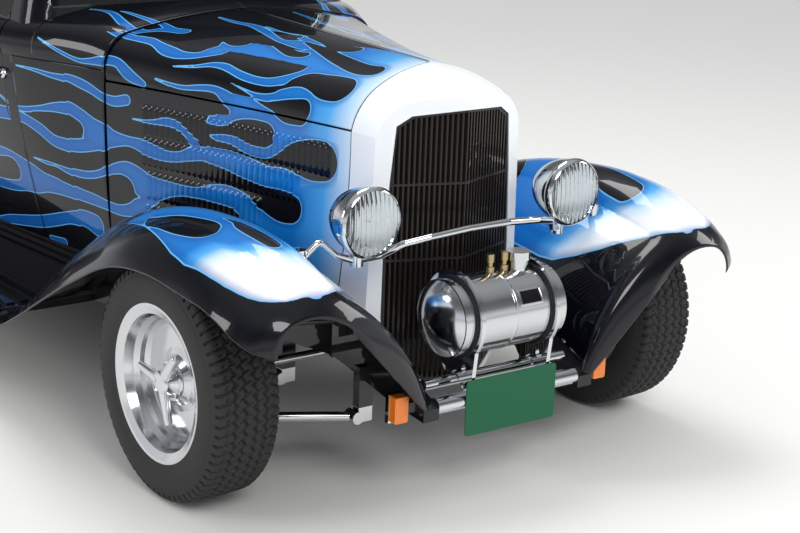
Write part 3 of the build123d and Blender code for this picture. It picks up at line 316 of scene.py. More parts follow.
def flame_lacquer(colours):
    """Navy lacquer with flames under one clear coat. The attribute flame_depth is the distance in
    metres from the flame's edge, inside positive; fade runs from white at the nose to deep blue.
    The flame is deeper in colour by its edge, and a pinstripe 3 mm wide runs along it."""
    tree = new_material("flame_lacquer")
    edge, fade = (add_node(tree, "ShaderNodeAttribute", {"attribute_name": key}).outputs["Fac"]
                  for key in ("flame_depth", "fade"))
    tone = {key: linear(code) for key, code in colours.items()}
    blend = ramp(tree, fade, [(0.0, tone["white"]), (0.22, tone["ice"]), (0.42, tone["sky"]),
                              (0.68, tone["blue"]), (1.0, tone["deep"])])
    rim = remap(tree, edge, {"From Min": 0.002, "From Max": 0.022, "To Min": 0.6, "To Max": 0.0})
    shaded = add_node(tree, "ShaderNodeMix", {"data_type": "RGBA", 7: tone["deep"]},
                      {0: rim, 6: blend})
    inside = remap(tree, edge, {"From Min": -0.0004, "From Max": 0.0004})
    body = add_node(tree, "ShaderNodeMix", {"data_type": "RGBA", 6: tone["navy"]},
                    {0: inside, 7: shaded.outputs[2]})
    away = add_node(tree, "ShaderNodeMath", {"operation": "ABSOLUTE"}, {0: edge}).outputs[0]
    line = remap(tree, away, {"From Min": 0.0019, "From Max": 0.0011})
    whole = add_node(tree, "ShaderNodeMix", {"data_type": "RGBA", 7: tone["line"]},
                     {0: line, 6: body.outputs[2]})
    lacquer(tree, 0.3, 0.8, {}, {"Base Color": whole.outputs[2]})


def mixed(tree, share, first, second):
    """Finish a material with two shaders, the second by its share."""
    finish_material(tree, add_node(tree, "ShaderNodeMixShader", links={
        0: share, 1: first.outputs[0], 2: second.outputs[0]}))


def plated_rods():
    """Chromed rods that turn black from 217 mm above the ground up, where the brackets stand."""
    tree = new_material("plated_rods")
    height = add_node(tree, "ShaderNodeSeparateXYZ", links={0: position(tree)}).outputs["Z"]
    plate = add_node(tree, "ShaderNodeBsdfPrincipled",
                     {"Base Color": linear("d9dbde"), "Metallic": 1.0, "Roughness": 0.05})
    # Black with a light clear coat, used on the brackets above 217 mm in place of chrome
    paint = add_node(tree, "ShaderNodeBsdfPrincipled",
                     {"Base Color": linear("0b0b10"), "Roughness": 0.3, "Coat Weight": 0.5})
    mixed(tree, remap(tree, height, {"From Min": 0.2165, "From Max": 0.2175}), plate, paint)


def rubber(name, colour, roughness):
    """Moulded rubber: dull black with a fine grain."""
    tree = new_material(name)
    noise = grain(tree, 500.0, 3.0)
    tone = remap(tree, noise, {"To Min": roughness - 0.08, "To Max": roughness + 0.08})
    principled(tree, {"Base Color": linear(colour)},
               {"Roughness": tone, "Normal": bump_from(tree, noise, 0.0002, 0.5)})


def clear_glass(name, colour):
    """Flat window glass: a slight tint seen through, and a mirror's share by Fresnel's law."""
    tree = new_material(name)
    normal = bump_from(tree, grain(tree, 3.0, 0.0), 0.0002, 0.2)
    through = add_node(tree, "ShaderNodeBsdfTransparent", {"Color": linear(colour)})
    mirror = add_node(tree, "ShaderNodeBsdfGlossy", {"Roughness": 0.01}, {"Normal": normal})
    share = add_node(tree, "ShaderNodeFresnel", {"IOR": 1.45}, {"Normal": normal})
    mixed(tree, share.outputs[0], through, mirror)


def lamp_glass():
    """Pressed lamp glass: upright flutes 14 mm apart on its back refract the bowl behind it."""
    tree = new_material("lamp_glass")
    principled(tree, {"Base Color": linear("f2f6f8"), "Transmission Weight": 1.0, "IOR": 1.45,
                      "Roughness": 0.03},
               {"Normal": bump_from(tree, flutes(tree, 22.0), 0.002, 0.6)})


def moulded_lens(name, colour):
    """Moulded acrylic lens with fine upright ribs 8 mm apart."""
    tree = new_material(name)
    principled(tree, {"Base Color": linear(colour), "Roughness": 0.12, "Coat Weight": 0.6,
                      "Subsurface Weight": 0.25, "Subsurface Scale": 0.01},
               {"Normal": bump_from(tree, flutes(tree, 40.0), 0.0008, 0.7)})


def metal(name, colour, roughness, scale, depth):
    """Bare metal with a fine grain of the given scale."""
    tree = new_material(name)
    noise = grain(tree, scale, 4.0)
    tone = remap(tree, noise, {"To Min": roughness - 0.06, "To Max": roughness + 0.08})
    principled(tree, {"Base Color": linear(colour), "Metallic": 1.0},
               {"Roughness": tone, "Normal": bump_from(tree, noise, depth, 0.4)})


def leather():
    """Black seat leather: pebbled grain 2 mm across, lightly waxed."""
    tree = new_material("seat_leather")
    cells = add_node(tree, "ShaderNodeTexVoronoi", {"Scale": 450.0}, {"Vector": position(tree)})
    principled(tree, {"Base Color": linear("16171b"), "Roughness": 0.48, "Specular IOR Level": 0.4},
               {"Normal": bump_from(tree, cells.outputs["Distance"], 0.0006, 0.5)})


SLOT_FINISH = {
    "body_paint": "navy_lacquer", "shell_paint": "pearl_lacquer", "frame_paint": "frame_lacquer",
    "grille_paint": "grille_bronze", "chrome": "chrome_plate", "rim_metal": "polished_aluminium",
    "tank_metal": "polished_aluminium", "radiator_metal": "radiator_black", "tyre": "tyre_rubber",
    "rubber": "liner_rubber", "brass": "brass", "window_glass": "window_glass",
    "lens_glass": "lamp_glass", "amber_lens": "amber_lens", "red_lens": "red_lens",
    "plate_paint": "plate_green", "engine_paint": "engine_grey", "pipe_steel": "stainless_pipe",
    "seat_leather": "seat_leather", "dash_paint": "dash_lacquer", "wheel_trim": "trim_black",
}

# Nodes whose finish isn't their slot's
NODE_FINISH = {"control_arms": "plated_rods"}


def make_materials(colours):
    """All finishes, from the lacquers to the leather."""
    chrome_plate()
    plated_rods()
    polished_aluminium()
    for row in (
        ("navy_lacquer", colours["navy"]), ("pearl_lacquer", colours["white"]),
        ("frame_lacquer", "07070d"), ("grille_bronze", "2a2624", 0.35, 0.3),
        ("radiator_black", "060606", 0.6, 0.0), ("plate_green", "0a5a3a", 0.3, 0.4),
        ("engine_grey", "1c1d20", 0.4, 0.3), ("dash_lacquer", "0a0e22", 0.3, 0.6),
        ("trim_black", "0b0b0d", 0.35, 0.3),
    ):
        plain_lacquer(*row)
    flame_lacquer(colours)
    rubber("tyre_rubber", "232322", 0.7)
    rubber("liner_rubber", "131313", 0.6)
    clear_glass("window_glass", "c9d2d2")
    lamp_glass()
    moulded_lens("amber_lens", "e87a10")
    moulded_lens("red_lens", "9c0a0a")
    metal("brass", "b9a47a", 0.25, 200.0, 0.00005)
    metal("stainless_pipe", "8b8c8f", 0.35, 300.0, 0.0001)
    leather()


# Panels. A chart gives each place a station and a girth, measured up the side from the hood's seam.

# Ends of the hood, the gap along the seam of its top and side, and the seam's height
HOOD_FRONT, HOOD_REAR, GAP, SEAM = -45.0, 868.0, 5.5, 930.0
# The hood top's edge by the centre hinge, the belt's girth and the bow of the body below the belt
HINGE_X, BELT_GIRTH, BODY_BOW = 3.0, 32.0, 12.0
# Hood sections. Columns: station, z_bottom, x_bottom, x_middle, x_seam, x_turn, z_turn, x_shoulder,
# z_shoulder, z_crown
HOOD_ROWS = [
    (-45, 434.5, 288, 259, 249, 232, 977, 175, 1038, 1095),
    (300, 408.0, 335, 326, 320, 303, 985, 240, 1046, 1102.6),
    (868, 373.0, 456, 472, 479, 466, 1012, 398, 1068, 1115),
]
# Body sections. Columns: station, z_low, x_low, x_belt, z_belt, x_shoulder, z_shoulder, z_crown
BODY_ROWS = [
    (868, 377.5, 452, 483, 961, 406, 1067, 1115), (1130, 377.5, 490, 588, 965, 545, 1072, 1138),
    (1290, 377.5, 508, 632, 965, 604, 1058, 1130), (1650, 377.5, 545, 664, 965, 640, 1054, 1120),
    (2080, 377.5, 556, 664, 965, 632, 1050, 1110), (2450, 430.0, 530, 622, 935, 580, 1012, 1062),
]
# Ends of the paint on the cowl's side, the cowl's top and the doors, clear of the gaps
COWL_SIDE, COWL_TOP, DOOR = (870.75, 1215.25), (870.75, 1122.0), (1220.75, 2077.25)
# Louvres of each hood side. Columns: top height, front station, number of louvres
LOUVRE_ROWS = [(882, 22, 33), (789, 132, 28), (690, 267, 21), (592, 380, 16)]
LOUVRE_PITCH, LOUVRE_LENGTH, LOUVRE_HEIGHT, LOUVRE_END, LOUVRE_RISE = 21.4, 17.0, 88.0, 14.0, 7.0
# Front fender sections. Columns: station, then X and Z of the lip, side, crown, ridge, inner slope
# and inner edge
FENDER_ROWS = [
    (-482, 756, 512, 742, 560, 696, 592, 628, 592, 574, 572, 520, 524),
    (-455, 800, 524, 776, 578, 704, 618, 620, 628, 530, 600, 291, 286),
    (-410, 826, 545, 784, 610, 700, 651, 614, 664, 530, 623, 292, 305),
    (-333, 840, 582, 790, 645, 700, 693, 612, 705, 530, 643, 293, 342),
    (-166, 842, 606, 794, 676, 700, 726, 612, 741, 530, 668, 294, 416),
    (4, 842, 614, 794, 674, 700, 721, 612, 740, 530, 684, 296, 445),
    (181, 842, 588, 794, 648, 700, 697, 612, 720, 530, 678, 326, 438),
    (400, 842, 490, 790, 562, 700, 625, 612, 656, 530, 643, 362, 424),
    (592, 842, 385, 786, 452, 700, 520, 612, 566, 530, 596, 404, 412),
    (740, 842, 300, 782, 350, 700, 408, 612, 452, 530, 488, 436, 400),
    (868, 842, 238, 782, 266, 700, 296, 612, 322, 530, 346, 456, 352),
    (985, 842, 219, 782, 240, 700, 250, 612, 253, 530, 258, 472, 262),
]
# Where the flame begins on a fender, and the radius of the fender's rolled lip
FENDER_NOSE, LIP_ROLL = -449.0, 3.5

# Blue licks of the body's flames, from tip to root: station, girth and half width
LICKS = [
    [(1197, 6, 1), (1125, 2, 4), (1063, -6, 7), (1001, -10, 11), (961, -19, 14), (920, -31, 13),
     (880, -46, 12), (840, -52, 15), (791, -42, 15)],
    [(767, -94, 1), (715, -93, 4), (672, -89, 8), (630, -82, 13), (595, -85, 13), (560, -106, 13),
     (525, -130, 16)],
    [(484, -101, 2), (434, -95, 7), (382, -93, 9), (348, -101, 13), (314, -110, 12),
     (271, -112, 12), (239, -102, 10), (210, -78, 14)],
    [(1299, -103, 3), (1240, -127, 5), (1189, -130, 8), (1117, -117, 9), (1061, -106, 15),
     (1009, -102, 20), (967, -119, 24), (926, -156, 41), (883, -168, 43), (847, -169, 29),
     (786, -164, 15), (725, -170, 21), (673, -178, 21), (630, -182, 17), (586, -176, 16),
     (543, -162, 20), (483, -152, 20), (414, -153, 26), (363, -160, 28), (311, -168, 26),
     (260, -174, 25), (209, -172, 27), (158, -179, 31)],
    [(1660, -148, 1), (1560, -170, 9), (1470, -178, 14), (1390, -166, 18), (1319, -159, 21),
     (1248, -156, 19), (1196, -160, 16), (1129, -182, 18), (1077, -209, 18), (1023, -215, 20),
     (976, -211, 21), (911, -197, 18)],
    [(1182, -284, 1), (1113, -291, 6), (1057, -299, 11), (999, -302, 12), (940, -296, 11),
     (891, -280, 11), (852, -260, 14), (806, -249, 22), (772, -263, 34), (728, -286, 42),
     (675, -288, 34), (621, -278, 23), (569, -272, 17), (515, -270, 17), (463, -262, 23),
     (411, -254, 25), (367, -260, 31), (332, -280, 35)],
    [(1660, -318, 1), (1560, -322, 9), (1460, -306, 15), (1370, -298, 17), (1290, -306, 18),
     (1240, -330, 20)],
    [(1720, -430, 1), (1600, -412, 9), (1480, -414, 15), (1380, -412, 18), (1300, -402, 18),
     (1240, -380, 20)],
    [(1268, -353, 58), (1211, -357, 50), (1154, -359, 33), (1100, -359, 27), (1051, -363, 22),
     (991, -367, 20), (931, -371, 18), (876, -376, 15), (822, -379, 17), (767, -362, 25),
     (721, -344, 24), (685, -322, 16)],
    [(1700, -600, 1), (1580, -590, 8), (1490, -566, 13), (1418, -547, 16), (1348, -534, 18),
     (1207, -504, 21), (1076, -462, 21), (998, -445, 26), (936, -453, 34)],
    [(1191, -553, 8), (1114, -549, 11)],
    [(1103, 100, 1), (1026, 70, 4), (964, 50, 6), (923, 52, 9), (878, 59, 14), (829, 57, 13),
     (780, 28, 17), (724, 9, 8)],
    [(947, 175, 3), (866, 154, 11), (807, 150, 13), (751, 147, 16), (689, 123, 19), (629, 115, 14),
     (577, 128, 14), (547, 162, 31)],
    [(1112, 308, 4), (1025, 288, 8), (930, 228, 12), (864, 193, 17), (824, 199, 20), (805, 231, 24),
     (756, 244, 20)],
    [(1010, 312, 3), (932, 290, 7), (879, 282, 10), (802, 248, 13)],
    [(633, 76, 2), (566, 86, 4), (514, 102, 8), (463, 105, 13), (396, 87, 12), (337, 77, 14),
     (288, 82, 15), (241, 104, 17), (206, 136, 17)],
    [(682, 30, 2), (622, 21, 5), (572, 20, 6), (524, 27, 8), (475, 31, 10), (431, 20, 16),
     (388, 5, 19)],
    [(420, 60, 1), (366, 48, 3), (312, 38, 7), (265, 40, 11), (223, 56, 14), (189, 67, 16),
     (147, 63, 20)],
    [(801, 415, 4), (717, 389, 8), (645, 379, 12), (567, 344, 13), (457, 289, 10), (401, 286, 24),
     (345, 283, 32)],
    [(604, 386, 4), (512, 353, 7), (438, 342, 15), (344, 312, 19), (274, 295, 21)],
]
# Dark drops between the licks, from tail to round head: station, girth and half width
DROPS = [
    [(959, 15, 10), (918, 14, 24), (879, 4, 31), (842, -8, 27), (832, -6, 27)],
    [(1149, -135, 4), (1101, -136, 12), (1058, -145, 26), (1015, -157, 36), (980, -161, 28)],
    [(655, -48, 20), (604, -52, 17), (553, -66, 15), (501, -78, 18), (459, -76, 15), (416, -71, 13),
     (366, -59, 25), (316, -60, 36), (266, -60, 36)],
    [(760, -122, 19), (715, -124, 23), (672, -127, 29), (630, -130, 34), (586, -130, 29)],
    [(501, -96, 14), (475, -110, 17), (450, -116, 12), (390, -116, 10), (347, -125, 6),
     (296, -132, 6), (245, -133, 12), (196, -118, 23), (147, -104, 42), (97, -101, 56),
     (53, -96, 56)],
    [(850, -215, 21), (787, -202, 21), (725, -212, 17), (674, -222, 22), (604, -226, 29),
     (542, -219, 35), (482, -207, 33), (413, -204, 24), (360, -211, 21), (309, -221, 24),
     (257, -238, 36), (204, -246, 46), (162, -246, 44)],
    [(1138, -306, 5), (1089, -310, 16), (1041, -320, 15), (984, -331, 16), (925, -330, 21),
     (873, -325, 33), (828, -318, 43), (808, -313, 43)],
    [(1640, -366, 2), (1560, -362, 14), (1480, -362, 27), (1399, -360, 36), (1341, -349, 39),
     (1311, -347, 39)],
    [(677, -378, 36), (623, -357, 47), (560, -342, 50), (498, -333, 48), (435, -326, 42),
     (383, -322, 36)],
    [(1223, -543, 10), (1116, -517, 20), (1047, -508, 33), (993, -512, 26)],
    [(621, 10, 5), (588, 2, 8), (554, -10, 23), (520, -14, 29), (478, -10, 30), (467, -9, 30)],
    [(316, 26, 2), (272, 19, 8), (232, 18, 18), (193, 15, 31), (154, 19, 35), (145, 20, 35)],
    [(424, 66, 5), (373, 61, 9), (322, 57, 11), (275, 61, 10), (236, 77, 8), (211, 98, 18),
     (176, 114, 29), (136, 112, 35), (94, 107, 45), (57, 107, 45)],
    [(631, 89, 10), (585, 100, 10), (553, 111, 13), (513, 127, 15), (465, 131, 17), (410, 128, 27),
     (358, 128, 32), (337, 130, 32)],
    [(830, 175, 14), (790, 196, 25), (726, 184, 34), (678, 177, 36)],
    [(953, 272, 10), (892, 245, 19), (866, 246, 19)],
    [(694, 265, 5), (625, 249, 12), (551, 228, 24), (529, 232, 24)],
    [(537, 356, 6), (477, 334, 18), (447, 337, 18)],
    [(504, 273, 6), (432, 255, 14), (343, 220, 19), (303, 221, 19)],
    [(411, 356, 13), (333, 331, 18), (252, 304, 27), (213, 307, 27)],
    [(377, 303, 7), (293, 273, 18), (187, 232, 25), (82, 202, 29), (29, 204, 29)],
]
# The ground is blue ahead of this line: girth and station
FLAME_FRONT = [(-600, 480), (-31, 480), (-28, 400), (28, 400), (32, 250), (95, 250), (100, 225),
               (168, 225), (172, 560), (240, 600), (244, 330), (300, 300), (330, 240), (345, 180),
               (352, -20), (360, -60), (600, -60)]
# Fender flame: station, and the half widths of the car at the blue's outer and inner edges
FENDER_EDGE = [(-448, 630, 615), (-444, 668, 598), (-437, 700, 575), (-424, 732, 553),
               (-403, 757, 530), (-378, 773, 503), (-350, 783, 477), (-305, 794, 432),
               (-250, 799, 392), (-188, 801, 360), (-136, 806, 352), (-56, 797, 350),
               (60, 769, 352), (120, 755, 420), (181, 740, 560), (260, 722, 650), (345, 700, 698)]
# Where white begins to turn to blue on a fender: half width of the car and station
FENDER_WHITE = [(374, -179), (426, -210), (499, -232), (536, -263), (558, -310), (623, -323),
                (665, -302), (709, -270), (735, -210), (783, -183)]
# Dark drops of each fender: station, half width of the car and half width of the drop
FENDER_DROPS = {
    "right": [
        [(228, 700, 6), (170, 716, 24), (105, 713, 32), (20, 712, 39), (-50, 708, 39),
         (-82, 706, 33)],
        [(-55, 643, 3), (-110, 640, 12), (-150, 645, 20), (-220, 640, 25), (-268, 636, 23)],
    ],
    "left": [
        [(150, 640, 5), (60, 628, 14), (-20, 614, 27), (-100, 600, 36), (-170, 590, 41),
         (-243, 586, 40)],
        [(170, 735, 5), (90, 730, 14), (10, 722, 20), (-60, 712, 18)],
    ],
}

# Depth that stands for far outside, and how far round a stroke its depth is measured
OUTSIDE, STROKE_REACH = -400.0, 60.0


def stroke_depth(stroke, a, b):
    """Depth inside a stroke: half width there less the distance to the middle line, whose points
    and half widths follow cubic curves through the table's rows. Past its reach it is far off."""
    rows = np.array(stroke, dtype=float)
    knots = np.arange(len(rows))
    fine = smooth_rows(knots, rows, np.linspace(0, len(rows) - 1.001, 5 * len(rows)))
    low, high = fine.min(0) - STROKE_REACH, fine.max(0) + STROKE_REACH
    near = (a > low[0]) & (a < high[0]) & (b > low[1]) & (b < high[1])
    p, q = a[near], b[near]
    best = np.full(p.shape, OUTSIDE)
    for (s0, g0, r0), (s1, g1, r1) in zip(fine[:-1], fine[1:]):
        ds, dg = s1 - s0, g1 - g0
        h = np.clip(((p - s0) * ds + (q - g0) * dg) / (ds * ds + dg * dg + 1e-9), 0, 1)
        best = np.maximum(best, r0 + h * (r1 - r0) - np.hypot(p - s0 - h * ds, q - g0 - h * dg))
    depth = np.full(a.shape, OUTSIDE)
    depth[near] = best
    return depth


def soft_max(a, b, k=7.0):
    """Larger of two depths with the corner between them rounded over k millimetres."""
    h = np.maximum(k - np.abs(a - b), 0) / k
    return np.maximum(a, b) + h * h * k / 4


def painted(strokes, a, b, depth):
    """Depth inside any of the strokes, or inside what has the given depth."""
    for stroke in strokes:
        depth = soft_max(depth, stroke_depth(stroke, a, b))
    return depth


def without(drops, a, b, blue):
    """Depth in metres inside the blue less the dark drops."""
    return -soft_max(-blue, painted(drops, a, b, np.full(a.shape, OUTSIDE))) / 1000


def body_paint(station, girth):
    """The body's flame: blue ahead of the front line and in the licks, less the dark drops. It is
    ice blue by the shell, full blue 200 mm behind it, and deepens slowly from there."""
    blue = np.interp(girth, *np.array(FLAME_FRONT, dtype=float).T) - station
    fade = np.minimum(0.2 + (station - HOOD_FRONT) / 400, 0.68 + (station - 150) / 5000)
    blue = painted(LICKS, station, girth, blue)
    return {"flame_depth": without(DROPS, station, girth, blue), "fade": fade}


def fender_paint(station, x, word):
    """A fender's flame on its plan: blue between its two edges behind the nose, less the dark
    drops, and white ahead of the line for white."""
    at, outer, inner = np.array(FENDER_EDGE, dtype=float).T
    across = soft_max(x - np.interp(station, at, outer, right=0),
                      np.interp(station, at, inner, right=900) - x)
    blue = -soft_max(across, FENDER_NOSE - station)
    white = np.interp(x, *np.array(FENDER_WHITE, dtype=float).T)
    return {"flame_depth": without(FENDER_DROPS[word], station, x, blue),
            "fade": np.clip((station - white) / 190 + 0.3, 0, 0.72)}


def parabola_rows(table, at):
    """Section columns at any station, on the parabola through three known sections."""
    rows = np.array(table, dtype=float)
    s = rows[:, 0]
    total = 0
    for i in range(3):
        j, k = [n for n in range(3) if n != i]
        share = (at - s[j]) * (at - s[k]) / ((s[i] - s[j]) * (s[i] - s[k]))
        total = total + share[:, None] * rows[i, 1:]
    return total


def girth_of(outline):
    """Length along each outline."""
    steps = np.linalg.norm(np.diff(outline, axis=1), axis=-1)
    return np.concatenate([np.zeros((len(outline), 1)), np.cumsum(steps, axis=1)], 1)


def panel(name, body, stations, outline, side, paint, fold=0.0, thick=0.0, flat_angle=40):
    """Painted panel over a grid of outlines. A fold turns its border in by that many millimetres.
    A thickness makes it solid inward, with plain navy on the inner side."""
    points = to_space(stations, outline, side)
    normal, outside = unit_normals(points)
    if fold:
        folded = np.pad(points - outside * normal * fold / 1000, ((1, 1), (1, 1), (0, 0)), "edge")
        folded[1:-1, 1:-1] = points
        points = folded
        paint = {key: np.pad(values, 1, "edge") for key, values in paint.items()}
    faces = grid_faces(*points.shape[:2])
    if outside > 0:
        faces = faces[:, ::-1]
    piece = make_piece(name, points, faces, "flame_lacquer", body, "body_paint", paint, flat_angle)
    if thick:
        shell = piece.modifiers.new("thickness", "SOLIDIFY")
        shell.thickness = thick / 1000
        shell.offset = -1.0
        piece.data.materials.append(MATERIALS["navy_lacquer"])
        shell.material_offset = 1
    return piece


def hood_top():
    """Stations and outlines of a hood top: one arc from the seam over the turn to the shoulder,
    and one on to the crown, which ends by the centre hinge."""
    stations = np.linspace(HOOD_FRONT, HOOD_REAR, 200)
    x_s, x_t, z_t, x_sh, z_sh, z_c = parabola_rows(HOOD_ROWS, stations).T[3:]
    seam = pair(x_s, np.full_like(x_s, SEAM + GAP / 2))
    shoulder = pair(x_sh, z_sh)
    turn = arc_points(seam, pair(x_t, z_t), shoulder, 34, include_end=False)
    top = pair(x_sh * 0.5, z_c - (z_c - z_sh) * 0.30)
    crown = arc_points(shoulder, top, pair(np.full_like(x_s, HINGE_X), z_c), 76)
    return stations, np.concatenate([turn, crown], 1)


def louvre_height(station, height):
    """Rise of the louvres: along each, a quarter sine up to its open rear edge, times a quarter
    sine at its top and its foot."""
    rise = np.zeros(station.shape)
    for top, front, count in LOUVRE_ROWS:
        along = (station - front) / LOUVRE_PITCH
        step = (along - np.floor(along)) * LOUVRE_PITCH / LOUVRE_LENGTH
        down = top - height
        ends = np.minimum(down, LOUVRE_HEIGHT - down)
        inside = (along >= 0) & (along < count) & (step <= 1) & (ends > 0)
        round_end = np.sin(np.clip(ends / LOUVRE_END, 0, 1) * np.pi / 2)
        open_end = np.sin(np.clip(step, 0, 1) * np.pi / 2)
        rise = np.where(inside, LOUVRE_RISE * open_end * round_end, rise)
    return rise


def hood_side():
    """Stations and outlines of a hood side: one arc from the frame rail up to the seam, with the
    louvres raised from it, and the outlines without them. Seven stations span a louvre's pitch."""
    step, first = LOUVRE_PITCH / 7, LOUVRE_ROWS[0][1]
    start = first - step * np.floor((first - HOOD_FRONT) / step)
    inner = np.arange(start, HOOD_REAR - 1, step)
    stations = np.concatenate([[HOOD_FRONT], inner[inner > HOOD_FRONT + 1], [HOOD_REAR]])
    z_b, x_b, x_m, x_s = parabola_rows(HOOD_ROWS, stations).T[:4]
    top = SEAM - GAP / 2
    smooth = arc_points(pair(x_b, z_b), pair(x_m, (z_b + top) / 2),
                        pair(x_s, np.full_like(x_s, top)), 168)
    outline = smooth.copy()
    outline[..., 0] += louvre_height(station_grid(stations, outline) + 0.01, outline[..., 1])
    return stations, outline, smooth


def body_outlines(stations, upper):
    """Body section at each station: below the belt one bowed arc, above it the shoulder's arc and
    the crown's."""
    rows = np.array(BODY_ROWS, dtype=float)
    z_l, x_l, x_b, z_b, x_s, z_s, z_c = smooth_rows(rows[:, 0], rows[:, 1:], stations).T
    belt, shoulder = pair(x_b, z_b), pair(x_s, z_s)
    if not upper:
        bow = pair((x_l + x_b) / 2 + BODY_BOW, (z_l + z_b) / 2)
        return arc_points(pair(x_l, z_l), bow, belt, 150)
    turn = pair((x_b + x_s) / 2 + 0.22 * (z_s - z_b), (z_b + z_s) / 2 + 0.18 * (x_b - x_s))
    first = arc_points(belt, turn, shoulder, 46, include_end=False)
    top = pair(x_s / 2, z_c - (z_c - z_s) * 0.27)
    crown = arc_points(shoulder, top, pair(np.zeros_like(x_s), z_c), 100)
    return np.concatenate([first, crown], 1)


# Body skins: places where rays measure the panel, the rays' start and length, and the paint's lift
NET, PROBE, PROBE_REACH, PAINT_LIFT = (8, 9), 0.05, 0.09, 0.0008


def panel_offset(name, points, normal):
    """How far a panel of the frame lies outside a grid of points, in metres along their normals.
    Rays measure it on a net of places, and cubic curves run between them."""
    node = frame["nodes"][name]
    tree = BVHTree.FromObject(node, bpy.context.evaluated_depsgraph_get())
    into = node.matrix_world.inverted()
    count, width = points.shape[:2]
    rows = np.linspace(2, count - 3, NET[0]).round().astype(int)
    columns = np.linspace(3, width - 4, NET[1]).round().astype(int)
    net = np.full(NET, np.nan)
    for i, r in enumerate(rows):
        for j, c in enumerate(columns):
            origin = into @ Vector(points[r, c] + normal[r, c] * PROBE)
            aim = (into.to_3x3() @ Vector(-normal[r, c])).normalized()
            distance = tree.ray_cast(origin, aim, PROBE_REACH)[3]
            if distance is not None:
                net[i, j] = PROBE - distance
    net[np.isnan(net)] = np.nanmedian(net)
    for places, length in ((rows, count), (columns, width)):
        net = smooth_rows(places, net, np.clip(np.arange(length), places[0], places[-1] - 0.001)).T
    return net


def body_skin(name, body, node, side, ends, upper):
    """Skin of paint over a body panel: the section curves, corrected to lie just off the panel."""
    stations = np.linspace(*ends, int((ends[1] - ends[0]) / 5))
    outline = body_outlines(stations, upper)
    points = to_space(stations, outline, side)
    normal, outside = unit_normals(points)
    normal *= outside
    points = points + normal * (panel_offset(node, points, normal) + PAINT_LIFT)[..., None]
    girth = girth_of(outline)
    if upper:
        girth = girth + BELT_GIRTH
    else:
        at_seam = np.argmin(np.abs(outline[..., 1] - SEAM), axis=1)
        girth = girth - girth[np.arange(len(girth)), at_seam][:, None]
    paint = body_paint(station_grid(stations, outline), girth)
    panel(name, body, stations, points[..., [0, 2]] * [side, 1] * 1000, side, paint, thick=0.6)


def fender_outlines(stations):
    """Fender section at each station: arcs from the lip over the side to the crown, over the ridge
    to the inner slope, and down to the inner edge, after a rolled lip."""
    rows = np.array(FENDER_ROWS, dtype=float)
    c = np.minimum(smooth_rows(rows[:, 0], rows[:, 1:], stations), rows[:, 1].max()).T
    lip, side, crown, ridge, slope, edge = (pair(c[i], c[i + 1]) for i in range(0, 12, 2))
    drop = edge - slope
    bend = (slope + edge) / 2 + 0.10 * pair(drop[:, 1], np.abs(drop[:, 0]))
    turn = np.linspace(-np.pi * 0.75, np.pi * 0.2, 8)
    roll = lip[:, None] + LIP_ROLL * pair(np.cos(turn) - 1, np.sin(turn))
    return np.concatenate([roll, arc_points(lip, side, crown, 56, include_end=False)[:, 2:],
                           arc_points(crown, ridge, slope, 48, include_end=False),
                           arc_points(slope, bend, edge, 44)], 1)


# Tyres, seat and small fittings

# Wheels. Columns: name, side, axle's Y, X, tyre radius, tyre width, tread pitches, steps in a pitch
WHEELS = [
    ("front_left", 1, FRONT_AXLE, 717.0, 315.4, 199.0, 70, 8),
    ("front_right", -1, FRONT_AXLE, 717.0, 315.4, 199.0, 70, 8),
    ("rear_left", 1, 1295.0, 710.0, 350.0, 235.0, 76, 6),
    ("rear_right", -1, 1295.0, 710.0, 350.0, 235.0, 76, 6),
]
# Radii of the rims' lips and bead seats, and the tyres' gap to them
RIM_LIP, RIM_BEAD, RIM_GAP = 210.0, 190.5, 0.3
# The tread's edge in from the sidewall's plane, and how far the tread falls to it
TREAD_EDGE, TREAD_FALL = 26.0, 3.0
# Middle lines of the grooves round a tyre, as shares of the tread's half width
GROOVE_PLACES = (-0.62, -0.22, 0.22, 0.62)
# Sections of the moulding: reach in flanks, flank and depth
GROOVE, SIPE, SLOT, RING = (1.7, 2.4, 7.0), (1.5, 2.0, 5.0), (1.8, 2.6, 6.0), (1.6, 2.0, 1.2)
# Spinner's cap: distance out from the sidewall's plane, and radius
SPINNER_CAP = [(-60, 0), (-60, 52), (-56, 54), (-52, 52), (-50, 44), (-46, 42), (-42, 38),
               (-24, 35), (-19, 33), (-16, 29), (-15, 26), (-16.5, 24), (-15.5, 14), (-14.5, 0)]
# Middle and sine and cosine of the lean of the seat's back, in metres
BACK_MIDDLE, LEAN_SINE, LEAN_COSINE = (0, 0.790, 0.806), 0.302, 0.953
CHANNEL_DEPTH = 0.009
# Door handles: station and height of the foot, length of the lever, and the foot's outline
HANDLE_STATION, HANDLE_HEIGHT, HANDLE_LENGTH = 1262.0, 900.0, 105.0
HANDLE_FOOT = [(-4, 0), (-4, 17), (3, 17), (6, 14), (9, 9), (24, 8), (26, 0)]
# Tank's axis and radius, and where its data plate sits along and round it
TANK_Y, TANK_Z, TANK_RADIUS = -1757.0, 486.0, 104.0
PLATE_X, PLATE_ANGLE = 53.0, 1.06


